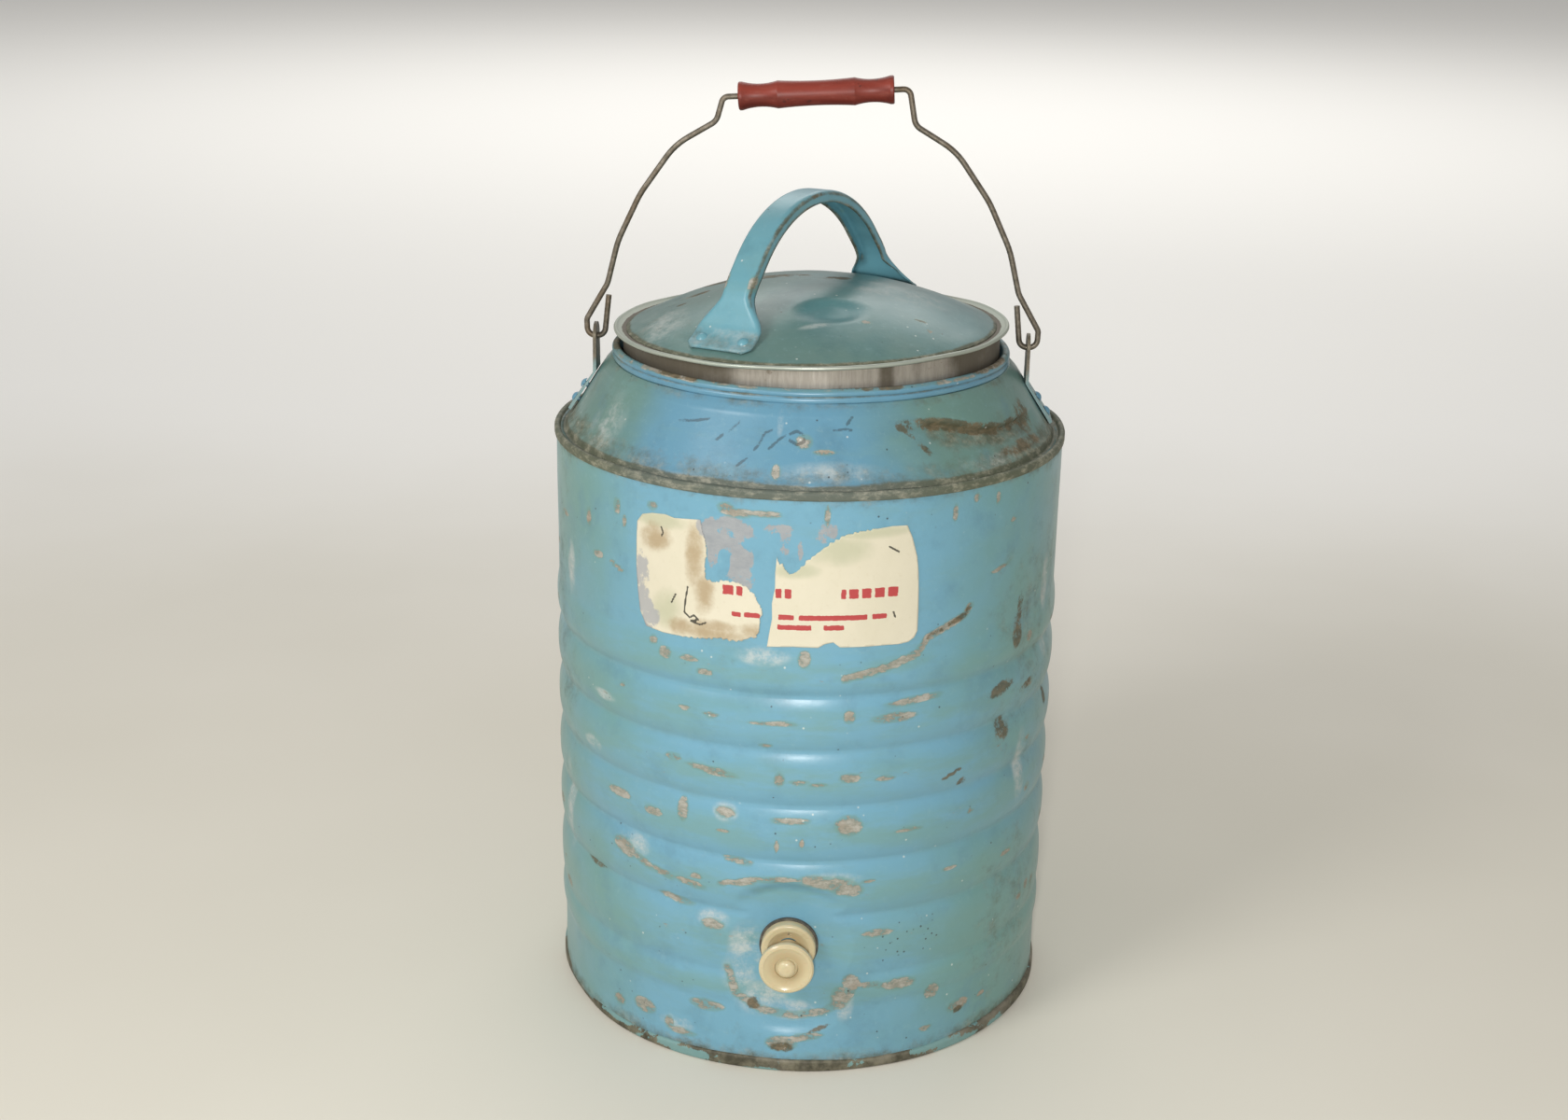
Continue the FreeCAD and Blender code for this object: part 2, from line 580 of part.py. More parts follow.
def make_lid_rivets_level():
    """Four round-headed rivets, two through each foot, drawn level."""
    rivets = []
    for side in (-1, 1):
        slope = foot_height(side, FOOT_RIVET_S + 1) - foot_height(side, FOOT_RIVET_S)
        outward = vec(-slope * side, 0, 1).normalize()
        foot_z = foot_height(side, FOOT_RIVET_S)
        seat = vec(side * FOOT_RIVET_S, 0, foot_z) + outward * HANDLE_GAUGE
        for across in (-FOOT_RIVET_HALF, FOOT_RIVET_HALF):
            rivets.append(snap_rivet(seat + vec(0, across, 0), outward, LID_RIVET_HEAD, 4.0))
    return turn_handle(Part.Compound(rivets))


def turn_handle(shape):
    """From the XZ plane to the handle's own direction over the lid."""
    turned_shape = shape.copy()
    turned_shape.translate(vec(HANDLE_SHIFT, 0, 0))
    turned_shape.rotate(ORIGIN, Z_AXIS, 90 - HANDLE_TURN_DEG)
    return turned_shape


# ---------------------------------------------------------------- bail and its ears
def shoulder_surface_r(z):
    """Radius of the shoulder's outer surface on its straight slope."""
    return SHOULDER_BEND_R + (SHOULDER_BEND_Z - z) * math.tan(SHOULDER_SLOPE)


def ear_rivet_frame(z):
    outward = vec(math.cos(SHOULDER_SLOPE), 0, math.sin(SHOULDER_SLOPE))
    return vec(shoulder_surface_r(z), 0, z) + outward * (EAR_GAUGE + 0.03), outward


def make_ear_right():
    """Upright strap with a hole for the bail, its lower half lying on the shoulder."""
    x_in, x_out = PIVOT_X - EAR_GAUGE / 2, PIVOT_X + EAR_GAUGE / 2
    square = vec(math.cos(SHOULDER_SLOPE), 0, math.sin(SHOULDER_SLOPE))
    low_in = vec(shoulder_surface_r(EAR_LOW_Z), 0, EAR_LOW_Z) + square * 0.03
    low_out = low_in + square * EAR_GAUGE
    tip_z = PIVOT_Z + EAR_TIP_R
    # the inner face turns upright where it reaches x_in, the outer face a little lower
    bend_in_z = SHOULDER_BEND_Z - (x_in - 0.1 - SHOULDER_BEND_R) / math.tan(SHOULDER_SLOPE)
    bend_out_z = bend_in_z - 1.0
    rows = [(low_in.x, low_in.z), (low_out.x, low_out.z), (x_out, bend_out_z), (x_out, tip_z),
            (x_in, tip_z), (x_in, bend_in_z)]
    half = EAR_WIDE / 2
    strap = face_from_path(rows, lambda x, z: vec(x, -half, z)).extrude(vec(0, EAR_WIDE, 0))
    tip = Part.makeCylinder(EAR_TIP_R, 20, vec(PIVOT_X - 10, 0, PIVOT_Z), X_AXIS)
    shank = Part.makeBox(60, EAR_WIDE, PIVOT_Z - EAR_LOW_Z - 8, vec(100, -half, EAR_LOW_Z - 10))
    shank = shank.fuse(face_from_path(
        [(-half, PIVOT_Z - EAR_TAPER_DROP), (half, PIVOT_Z - EAR_TAPER_DROP),
         (EAR_TIP_R - 0.4, PIVOT_Z + 2), (0.4 - EAR_TIP_R, PIVOT_Z + 2)],
        lambda y, z: vec(100, y, z)).extrude(vec(60, 0, 0)))
    strap = strap.common(shank.fuse(tip))
    strap = strap.cut(Part.makeCylinder(EAR_HOLE_R, 20, vec(PIVOT_X - 10, 0, PIVOT_Z), X_AXIS))
    for z in EAR_RIVETS_Z:
        point, outward = ear_rivet_frame(z)
        strap = strap.cut(Part.makeCylinder(RIVET_SHANK_R, 10, point + outward * 4, outward * -1))
    return strap.removeSplitter()


def make_ear_rivets():
    rivets = []
    for z in EAR_RIVETS_Z:
        point, outward = ear_rivet_frame(z)
        right = snap_rivet(point, outward, EAR_RIVET_HEAD, 4.2)
        rivets += [right, mirror_x(right)]
    return Part.Compound(rivets)


def grip_point(along):
    """A point on the grip's tilted axis."""
    a = math.radians(GRIP_TILT_DEG)
    return vec(along * math.cos(a), 0, GRIP_Z + along * math.sin(a))


def bail_half(side):
    """Corner points and bend radii of one arm, from the grip down to the hook's tail."""
    wide = [(54.5, 506.0), (77.5, 492.5), (97.0, 465.0), (109.6, 438.5), (115.6, 414.5)]
    corners = [grip_point(side * 51.0)]
    corners += [vec(side * x, 0, z) for x, z in wide]
    corners += [vec(side * (PIVOT_X + HOOK_R + 0.3), 0, PIVOT_Z + 9.5),
                vec(side * (PIVOT_X + HOOK_R), 0, PIVOT_Z),
                vec(side * (PIVOT_X - HOOK_R), 0, PIVOT_Z),
                vec(side * (PIVOT_X - HOOK_R - 2.6), 0, PIVOT_Z + 23.5)]
    radii = [4.0, 7.5, 40.0, 55.0, 50.0, 14.0, 4.0, HOOK_R - 0.25, HOOK_R - 0.25]
    return corners, radii


def make_bail_wire():
    left, left_radii = bail_half(-1)
    right, right_radii = bail_half(1)
    path = rounded_path(list(reversed(left)) + right, list(reversed(left_radii)) + right_radii)
    return wire_rod(path, BAIL_WIRE_R)


def make_bail_grip():
    """Turned wooden grip: raised ends, two swells and a slimmer middle."""
    waist, swell, end = GRIP_WAIST_R, GRIP_SWELL_R, GRIP_END_R
    outline = [
        (GRIP_BORE_R, -GRIP_HALF), (end - 0.6, -GRIP_HALF), (end, -GRIP_HALF + 0.6),
        (end, -GRIP_HALF + 2.0), (waist, -GRIP_HALF + 6.5, swell, -GRIP_SWELL_AT),
        (waist, 0, swell, GRIP_SWELL_AT), (waist, GRIP_HALF - 6.5, end, GRIP_HALF - 2.0),
        (end, GRIP_HALF - 0.6), (end - 0.6, GRIP_HALF), (GRIP_BORE_R, GRIP_HALF)]
    face = face_from_path(outline, lambda r, x: vec(x, 0, r))
    grip = face.revolve(ORIGIN, X_AXIS, 360)
    grip.rotate(ORIGIN, Y_AXIS, -GRIP_TILT_DEG)
    grip.translate(vec(0, 0, GRIP_Z))
    return grip


# ---------------------------------------------------------------- build and export
barrel_shell = make_barrel_shell()
ear_rivets = make_ear_rivets()
lid_rivets_level = make_lid_rivets_level()
ear_right = make_ear_right()

NODES = {
    "barrel_shell": barrel_shell,
    "base_pan": make_base_pan(),
    "shoulder_cone": make_shoulder().cut(ear_rivets),
    "neck_rim": make_neck_rim(),
    "liner_wall": make_liner_wall(),
    "liner_floor": make_liner_floor(),
    "wall_insulation": make_wall_insulation(),
    "floor_insulation": make_floor_insulation(),
    "paper_label": make_label(),
    "ear_right": ear_right,
    "ear_left": mirror_x(ear_right),
    "ear_rivets": ear_rivets,
    "tap_body": make_tap_body(),
    "tap_outer_gasket": make_outer_gasket(),
    "tap_sleeve": make_tap_sleeve(),
    "tap_inner_gasket": make_inner_gasket(),
    "tap_nut": make_tap_nut(),
    "tap_button": make_button(),
    "tap_plunger": make_plunger(),
    "tap_stopper": make_stopper(),
    "tap_return_spring": make_return_spring(),
    "lid_dome": tilt_lid(make_lid_dome()),
    "lid_skirt": tilt_lid(make_lid_skirt()),
    "lid_pan": tilt_lid(make_lid_pan()),
    "lid_insulation": tilt_lid(make_lid_insulation()),
    "lid_handle": tilt_lid(turn_handle(make_handle_level()).cut(lid_rivets_level)),
    "lid_handle_rivets": tilt_lid(lid_rivets_level),
    "bail_wire": make_bail_wire(),
    "bail_grip": make_bail_grip(),
}

os.makedirs("parts", exist_ok=True)
for name, shape in NODES.items():
    for solid in shape.Solids:
        if not solid.isValid() or solid.Volume <= 0:
            print("bad solid in", name)
    print(name, len(shape.Solids), "solid(s)", round(shape.Volume), "mm3")
    shape.exportStep("parts/" + name + ".step")
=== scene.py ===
import math

import bpy
import numpy as np
from mathutils import Matrix, Vector
from mathutils.geometry import delaunay_2d_cdt


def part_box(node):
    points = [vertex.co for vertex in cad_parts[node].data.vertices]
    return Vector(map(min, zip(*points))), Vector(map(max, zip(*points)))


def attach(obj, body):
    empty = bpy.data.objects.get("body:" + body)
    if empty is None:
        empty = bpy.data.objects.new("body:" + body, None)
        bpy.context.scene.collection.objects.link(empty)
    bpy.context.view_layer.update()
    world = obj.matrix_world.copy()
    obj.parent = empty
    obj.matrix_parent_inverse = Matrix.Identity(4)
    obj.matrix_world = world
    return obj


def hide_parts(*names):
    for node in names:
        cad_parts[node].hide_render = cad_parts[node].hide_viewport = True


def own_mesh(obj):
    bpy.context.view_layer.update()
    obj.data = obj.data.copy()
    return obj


# Looks of an insulated sheet-metal drinks cooler with tap, lid and bail.
# Blender works in metres; shapes here are drawn in millimetres and scaled by MM.
# Azimuths are in degrees round the barrel, 0 at the tap (-Y), growing towards +X.
MM = 0.001

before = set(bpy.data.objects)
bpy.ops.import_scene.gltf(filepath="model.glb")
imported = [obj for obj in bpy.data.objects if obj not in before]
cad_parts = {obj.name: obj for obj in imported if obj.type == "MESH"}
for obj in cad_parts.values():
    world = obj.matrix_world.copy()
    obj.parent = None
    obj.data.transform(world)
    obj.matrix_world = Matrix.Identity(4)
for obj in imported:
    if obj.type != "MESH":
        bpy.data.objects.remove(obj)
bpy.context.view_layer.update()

# ---------------------------------------------------------------- sizes (mm)
SHEET = 0.6
BASE_R = 146.3
WALL_R = 144.6
RIB_R = 145.9
VALLEY_R = 142.6
GROOVES_Z = (58.0, 96.0, 129.0, 162.0, 194.0, 226.0)
GROOVE_DEPTH = (0.55, 0.9, 1.0, 1.0, 1.0, 1.0)     # share of the full depth
FIRST_RIB_LOW_Z = 40.0
LAST_RIB_END_UP = 25.0
BARREL_LOW_Z = 3.0
BARREL_TOP_Z = 336.8
SEAM_R = 146.0
SEAM_LOW_Z = 334.0
SEAM_TOP_Z = 339.0
SEAM_WIDE = 3.4
SHOULDER_FOOT = (137.8, 340.5)
SHOULDER_BEND = (117.5, 371.5)
NECK_R = 112.6
NECK_LOW_Z = 376.7
NECK_TOP_Z = 384.0
LINER_R = 108.4
BASE_PAN_TOP_Z = 7.6
PANEL_Y = 141.3
PANEL_R = 46.0
PANEL_Z = 70.0
TAP_Z = 78.5

LID_TILT_DEG = 1.29
LID_PIVOT_Z = 390.0
BRIM_R = 111.6
BRIM_Z = 394.65
DOME_R = 104.1
DOME_HIGH = 26.0
DOME_POWER = 2.2
SKIRT_R = 106.3
SKIRT_LOW_Z = 369.2

HANDLE_TURN_DEG = 28.9
HANDLE_SHIFT = -3.0
FOOT_RIVET_S = 87.0

LABEL_THICK = 0.3


# ---------------------------------------------------------------- mesh helpers
def smooth(x, low, high):
    t = np.clip((x - low) / (high - low), 0.0, 1.0)
    return t * t * (3 - 2 * t)


def ripple(a, b, seed):
    """Slow, repeatable waviness between -1 and 1 from a few crossed sine waves."""
    total = np.zeros(np.broadcast(a, b).shape)
    for k in range(1, 5):
        turn = 2.399 * (seed + k)
        total = total + np.sin(a * k * math.cos(turn) + b * k * math.sin(turn) + 1.7 * seed * k) / k
    return total / 1.8


def link_mesh(name, verts, faces, attributes=None):
    """Mesh object from an (n, 3) array in mm and a list or array of faces."""
    mesh = bpy.data.meshes.new(name)
    mesh.from_pydata((np.asarray(verts) * MM).tolist(), [], [list(f) for f in faces])
    mesh.validate()
    mesh.update()
    for key, values in (attributes or {}).items():
        layer = mesh.attributes.new(key, "FLOAT", "POINT")
        layer.data.foreach_set("value", np.asarray(values, np.float32).ravel())
    mesh.shade_smooth()
    obj = bpy.data.objects.new(name, mesh)
    bpy.context.scene.collection.objects.link(obj)
    return obj


def signed_volume(verts, quads, caps=()):
    """Six times the volume inside the faces: positive when they face outwards."""
    a, b, c, d = (verts[quads[:, i]] for i in range(4))
    total = (np.einsum("ij,ij->i", a, np.cross(b, c)) + np.einsum("ij,ij->i", a, np.cross(c, d))).sum()
    for cap in caps:
        for k in range(1, len(cap) - 1):
            total += np.dot(verts[cap[0]], np.cross(verts[cap[k]], verts[cap[k + 1]]))
    return total


def loop_grid(name, grid, attributes=None, wrap_rows=True, caps=False):
    """Closed surface from a grid (rows, columns, 3); columns always wrap.
    wrap_rows joins the last row to the first; caps closes both ends with a flat face."""
    rows, cols = grid.shape[:2]
    verts = grid.reshape(-1, 3)
    row_count = rows if wrap_rows else rows - 1
    i, j = np.meshgrid(np.arange(row_count), np.arange(cols), indexing="ij")
    i2, j2 = (i + 1) % rows, (j + 1) % cols
    quads = np.stack([i * cols + j, i * cols + j2, i2 * cols + j2, i2 * cols + j], -1).reshape(-1, 4)
    ends = [list(range(cols))[::-1], [(rows - 1) * cols + k for k in range(cols)]] if caps else []
    faces = quads.tolist() + ends
    if signed_volume(verts, quads, ends) < 0:
        faces = [f[::-1] for f in faces]
    flat_attributes = {k: np.asarray(v).reshape(-1) for k, v in (attributes or {}).items()}
    return link_mesh(name, verts, faces, flat_attributes)


def pole_grid(name, grid, attributes=None):
    """Closed surface whose first and last rows are single points on the axis."""
    rows, cols = grid.shape[:2]
    verts = np.concatenate([grid[0, :1], grid[1:-1].reshape(-1, 3), grid[-1, :1]])
    inner = rows - 2
    last = len(verts) - 1
    i, j = np.meshgrid(np.arange(inner - 1), np.arange(cols), indexing="ij")
    j2 = (j + 1) % cols
    quads = np.stack([i * cols + j, i * cols + j2, (i + 1) * cols + j2, (i + 1) * cols + j], -1)
    quads = quads.reshape(-1, 4) + 1
    faces = quads.tolist()
    for k in range(cols):
        k2 = (k + 1) % cols
        faces.append([0, 1 + k2, 1 + k])
        faces.append([last, last - cols + k, last - cols + k2])
    if signed_volume(verts, quads) < 0:
        faces = [f[::-1] for f in faces]
    values = {}
    for key, v in (attributes or {}).items():
        values[key] = np.concatenate([v[0, :1], v[1:-1].reshape(-1), v[-1, :1]])
    return link_mesh(name, verts, faces, values)


def angles(step, front_step=None, front_half=0.0):
    """Azimuths all round, closer together within front_half of the tap."""
    if front_step is None:
        return np.arange(-180.0, 180.0, step)
    side = np.arange(front_half, 180.0, step)
    front = np.arange(-front_half, front_half, front_step)
    return np.concatenate([-side[::-1], front[1:], side])


def round_points(phi, r, z):
    """Points at azimuth phi (degrees), radius r and height z."""
    a = np.radians(phi)
    return np.stack([r * np.sin(a), -r * np.cos(a), z + 0 * a], -1)


def outline(steps, spacing=1.0):
    """Points along a closed outline of (a, b) corners and (a, b, a2, b2) arcs through (a, b)."""
    points = []
    here = np.array(steps[0][-2:], float)
    for step in list(steps[1:]) + [steps[0]]:
        end = np.array(step[-2:], float)
        if len(step) == 4:
            middle = np.array(step[:2], float)
            points += arc_points(here, middle, end, spacing)
        else:
            count = max(1, int(math.ceil(np.linalg.norm(end - here) / spacing)))
            points += [here + (end - here) * k / count for k in range(count)]
        here = end
    return np.array(points)


def arc_points(start, middle, end, spacing):
    """Points from start up to, not including, end on the circle through middle."""
    (ax, ay), (bx, by), (cx, cy) = start, middle, end
    d = 2 * (ax * (by - cy) + bx * (cy - ay) + cx * (ay - by))
    sa, sb, sc = ax * ax + ay * ay, bx * bx + by * by, cx * cx + cy * cy
    centre = np.array([(sa * (by - cy) + sb * (cy - ay) + sc * (ay - by)) / d,
                       (sa * (cx - bx) + sb * (ax - cx) + sc * (bx - ax)) / d])
    radius = np.linalg.norm(start - centre)
    a0, a1, a2 = (math.atan2(*(p - centre)[::-1]) for p in (start, middle, end))
    turn = (a2 - a0) % (2 * math.pi)
    if (a1 - a0) % (2 * math.pi) > turn:
        turn -= 2 * math.pi
    count = max(3, int(math.ceil(abs(turn) * radius / spacing)))
    return [centre + radius * np.array([math.cos(a0 + turn * k / count),
                                        math.sin(a0 + turn * k / count)]) for k in range(count)]


def turned_ring(name, steps, phi, spacing=1.0, shift=None, attributes=None, tilt=False):
    """Ring of revolution from a closed outline of (radius, z).
    shift(phi, r, z) gives (dr, dz); attributes maps a name to a function of (phi, r, z)."""
    profile = outline(steps, spacing)
    p, r = np.meshgrid(phi, profile[:, 0])
    z = np.repeat(profile[:, 1][:, None], len(phi), 1)
    dr, dz = shift(p, r, z) if shift else (0, 0)
    grid = round_points(p, r + dr, z + dz)
    if tilt:
        grid = tilt_lid(grid)
    values = {k: f(p, r, z) for k, f in (attributes or {}).items()}
    return loop_grid(name, grid, values)


def tilt_lid(points):
    """Set lid points, drawn level, at the lid's crooked seat."""
    a = math.radians(-LID_TILT_DEG)
    x, y, z = points[..., 0], points[..., 1], points[..., 2] - LID_PIVOT_Z
    return np.stack([x * math.cos(a) + z * math.sin(a), y,
                     z * math.cos(a) - x * math.sin(a) + LID_PIVOT_Z], -1)


def spots(u, v, marks):
    """Highest value over soft oval marks (u, v, half length, half height, turn in degrees):
    1 in a mark's middle, 0.5 on its edge, 0 well outside."""
    total = np.zeros(np.broadcast(u, v).shape)
    for mark in marks:
        cu, cv, long, high = mark[:4]
        turn = math.radians(mark[4]) if len(mark) > 4 else 0.0
        du, dv = u - cu, v - cv
        a = (du * math.cos(turn) + dv * math.sin(turn)) / long
        b = (dv * math.cos(turn) - du * math.sin(turn)) / high
        total = np.maximum(total, 1 - 0.5 * (a * a + b * b))
    return np.clip(total, 0, 1)


def strokes(u, v, points, half_wide):
    """Like spots, along a line of (u, v) points."""
    nearest = np.full(np.broadcast(u, v).shape, 1e9)
    for (au, av), (bu, bv) in zip(points, points[1:]):
        length = (bu - au) ** 2 + (bv - av) ** 2
        t = np.clip(((u - au) * (bu - au) + (v - av) * (bv - av)) / length, 0, 1)
        nearest = np.minimum(nearest, np.hypot(u - au - t * (bu - au), v - av - t * (bv - av)))
    return np.clip(1 - 0.5 * (nearest / half_wide) ** 2, 0, 1)


def arc_length(phi, radius=WALL_R):
    return np.radians(phi) * radius


def on_wall(marks, radius=WALL_R):
    """Marks or points given as (azimuth, z, ...), with the azimuth as mm round the radius."""
    return [(float(arc_length(m[0], radius)),) + tuple(m[1:]) for m in marks]


def no_mark(p, r, z):
    return 0 * p


def signed_volume_tri(verts, faces):
    total = 0.0
    for f in faces:
        for k in range(1, len(f) - 1):
            total += np.dot(verts[f[0]], np.cross(verts[f[k]], verts[f[k + 1]]))
    return total


# ---------------------------------------------------------------- material helpers
class Surface:
    """A Principled material and short ways to wire its procedural nodes."""

    def __init__(self, name):
        self.material = bpy.data.materials.new(name)
        self.material.use_nodes = True
        self.tree = self.material.node_tree
        self.tree.nodes.clear()
        self.out = self.tree.nodes.new("ShaderNodeOutputMaterial")
        self.bsdf = self.tree.nodes.new("ShaderNodeBsdfPrincipled")
        self.tree.links.new(self.bsdf.outputs[0], self.out.inputs[0])
        self.where = self.tree.nodes.new("ShaderNodeTexCoord").outputs["Object"]
        self.normal = None

    def put(self, socket, value):
        if isinstance(value, bpy.types.NodeSocket):
            self.tree.links.new(value, socket)
        elif isinstance(value, tuple) and len(value) == 3 and socket.type == "RGBA":
            socket.default_value = value + (1.0,)
        else:
            socket.default_value = value

    def make(self, kind, inputs, output=0, **settings):
        node = self.tree.nodes.new(kind)
        for key, value in settings.items():
            setattr(node, key, value)
        for key, value in inputs.items():
            self.put(node.inputs[key], value)
        return node.outputs[output]

    def math(self, op, a, b):
        return self.make("ShaderNodeMath", {0: a, 1: b}, operation=op)

    def add(self, a, b):
        return self.math("ADD", a, b)

    def sub(self, a, b):
        return self.math("SUBTRACT", a, b)

    def mul(self, a, b):
        return self.math("MULTIPLY", a, b)

    def most(self, a, b):
        return self.math("MAXIMUM", a, b)

    def step(self, value, low, high):
        return self.make("ShaderNodeMapRange", {0: value, 1: low, 2: high, 3: 0.0, 4: 1.0},
                         interpolation_type="SMOOTHSTEP")

    def span(self, value, low, high):
        """Value from 0..1 to low..high."""
        return self.make("ShaderNodeMapRange", {0: value, 1: 0.0, 2: 1.0, 3: low, 4: high})

    def mix(self, share, a, b):
        return self.make("ShaderNodeMix", {0: share, 6: a, 7: b}, output=2, data_type="RGBA")

    def place(self, stretch, offset=(0.0, 0.0, 0.0)):
        return self.make("ShaderNodeMapping", {"Vector": self.where, "Scale": stretch,
                                               "Location": offset})

    def noise(self, scale, detail=3.0, rough=0.5, stretch=(1.0, 1.0, 1.0)):
        return self.make("ShaderNodeTexNoise", {"Vector": self.place(stretch), "Scale": scale,
                                                "Detail": detail, "Roughness": rough})

    def cells(self, scale):
        where = self.place((1.0, 1.0, 1.0))
        return self.make("ShaderNodeTexVoronoi", {"Vector": where, "Scale": scale})

    def mark(self, name):
        return self.make("ShaderNodeAttribute", {}, output=2, attribute_name=name)

    def torn(self, value, noise, reach=1.3, edge=0.08):
        """Crisp ragged patch: noise wears a soft mark away from its edge inwards."""
        rough = self.step(noise, 0.34, 0.66)
        share = self.add(self.mul(rough, reach), 1 - 0.46 * reach)
        return self.step(self.mul(value, share), 0.5 - edge, 0.5 + edge)

    def bump(self, height, depth_mm, strength=1.0):
        inputs = {"Height": height, "Distance": depth_mm * MM, "Strength": strength}
        if self.normal is not None:
            inputs["Normal"] = self.normal
        self.normal = self.make("ShaderNodeBump", inputs)

    def finish(self, color, rough, metal=0.0, **constants):
        self.put(self.bsdf.inputs["Base Color"], color)
        self.put(self.bsdf.inputs["Roughness"], rough)
        self.put(self.bsdf.inputs["Metallic"], metal)
        if self.normal is not None:
            self.put(self.bsdf.inputs["Normal"], self.normal)
        for key, value in constants.items():
            self.bsdf.inputs[key.replace("_", " ")].default_value = value
        return self.material


ZINC = (0.44, 0.41, 0.36)
ZINC_DARK = (0.25, 0.24, 0.19)
RUST = (0.075, 0.062, 0.028)
# Olive dirt colour, also used for painted shade.
OLIVE_DIRT_AND_SHADE = (0.090, 0.088, 0.048)
SOOT = (0.03, 0.032, 0.03)


def paint_material(name, blue, faded_and_shaded, fade_bias=0.0):
    """Worn enamel over galvanised sheet. Marks read from the mesh: chips, rust, dirt with painted shade,
    pale, fading with painted shade, residue, specks, crest and ink."""
    s = Surface(name)
    broad = s.noise(9.0, 4.0, 0.6)
    middle = s.noise(42.0, 5.0, 0.65)
    fine = s.noise(260.0, 5.0, 0.7)
    streak = s.noise(20.0, 5.0, 0.66, stretch=(1.0, 1.0, 4.0))
    ragged = s.noise(105.0, 7.0, 0.78, stretch=(1.0, 1.0, 2.0))

    # Faded, greener, darker paint where the fade mark is high. The mark is partly real fading and partly
    # painted shade, on the sides away from the front and in the lid's dent.
    fade = s.step(s.add(s.add(s.mul(s.sub(broad, 0.5), 1.7), s.mark("fade")), fade_bias), 0.12, 0.95)
    color = s.mix(fade, blue, faded_and_shaded)
    color = s.mix(s.mul(s.step(middle, 0.48, 0.75), 0.45), color, tuple(0.66 * c for c in blue))
    color = s.mix(s.mul(s.step(streak, 0.50, 0.75), 0.36), color, (0.165, 0.31, 0.31))
    color = s.mix(s.mul(s.step(fine, 0.54, 0.8), 0.25), color, (0.30, 0.46, 0.48))
    color = s.mix(s.mul(s.mul(s.mark("crest"), s.step(streak, 0.35, 0.6)), 0.55), color, (0.16, 0.31, 0.28))

    pale_noise = s.noise(70.0, 6.0, 0.75)
    cloud = s.mul(s.step(s.mark("pale"), 0.15, 0.9), s.step(pale_noise, 0.36, 0.62))
    pale = s.mul(cloud, s.span(s.step(ragged, 0.38, 0.6), 0.45, 1.0))
    color = s.mix(s.mul(pale, 0.85), color, (0.50, 0.53, 0.51))
    residue = s.torn(s.mark("residue"), s.noise(85.0, 6.0, 0.75), 1.5, 0.10)
    color = s.mix(s.mul(residue, 0.85), color, s.mix(ragged, (0.20, 0.20, 0.21), (0.46, 0.44, 0.43)))

    scattered = s.step(s.add(s.noise(60.0, 6.0, 0.74, stretch=(1.0, 1.0, 3.0)),
                             s.mul(s.mark("crest"), 0.16)), 0.80, 0.85)
    chips = s.most(s.torn(s.mark("chips"), ragged, 1.6, 0.10), s.mul(scattered, 0.8))
    halo = s.step(s.mul(s.mark("chips"), s.span(ragged, 0.2, 1.8)), 0.03, 0.42)
    color = s.mix(s.mul(halo, 0.55), color, (0.15, 0.27, 0.22))
    zinc = s.mix(s.step(ragged, 0.42, 0.66), ZINC_DARK, ZINC)
    zinc = s.mix(s.mul(s.step(middle, 0.52, 0.72), 0.7), zinc, (0.33, 0.25, 0.18))
    color = s.mix(s.mul(chips, 0.92), color, zinc)

    # Olive grime where the dirt mark is high. The mark also paints shade: the gap round the lid dome, the
    # shoulder dent and the barrel's right side.
    dirt = s.mark("dirt")
    grime_and_shade = s.step(s.add(dirt, s.mul(s.sub(s.noise(60.0, 6.0, 0.75), 0.5), 1.5)), 0.15, 0.85)
    muck_and_shade = s.mix(s.step(ragged, 0.45, 0.68), OLIVE_DIRT_AND_SHADE, (0.30, 0.275, 0.195))
    color = s.mix(s.mul(grime_and_shade, 0.88), color, muck_and_shade)
    rust = s.torn(s.mark("rust"), s.noise(80.0, 7.0, 0.78), 1.7, 0.30)
    color = s.mix(s.mul(rust, 0.85), color, s.mix(s.step(ragged, 0.4, 0.65), RUST, (0.17, 0.12, 0.06)))

    dots = s.sub(1.0, s.step(s.cells(260.0), 0.10, 0.22))
    dotted = s.mul(dots, s.step(s.add(s.mark("specks"), s.mul(s.sub(middle, 0.5), 0.8)), 0.5, 0.7))
    stray = s.mul(s.sub(1.0, s.step(s.cells(120.0), 0.04, 0.09)), s.step(middle, 0.50, 0.56))
    ink = s.torn(s.mark("ink"), ragged, 1.5, 0.30)
    color = s.mix(s.most(s.mul(s.most(dotted, stray), 0.8), s.mul(ink, 0.55)), color, SOOT)
    flecks = s.mul(s.sub(1.0, s.step(s.cells(95.0), 0.03, 0.08)), s.step(broad, 0.48, 0.55))
    color = s.mix(s.mul(flecks, 0.7), color, (0.62, 0.66, 0.62))

    s.bump(s.noise(30.0, 3.0), 0.7, 0.45)
    s.bump(s.noise(420.0, 3.0, 0.6), 0.10, 0.55)
    s.bump(s.sub(1.0, chips), 0.25, 0.6)
    s.bump(rust, 0.2, 0.5)
    worn = s.most(chips, s.most(rust, s.most(grime_and_shade, pale)))
    rough = s.add(s.span(middle, 0.24, 0.40), s.mul(worn, 0.32))
    return s.finish(color, rough, s.mul(chips, 0.12), Specular_IOR_Level=0.5)


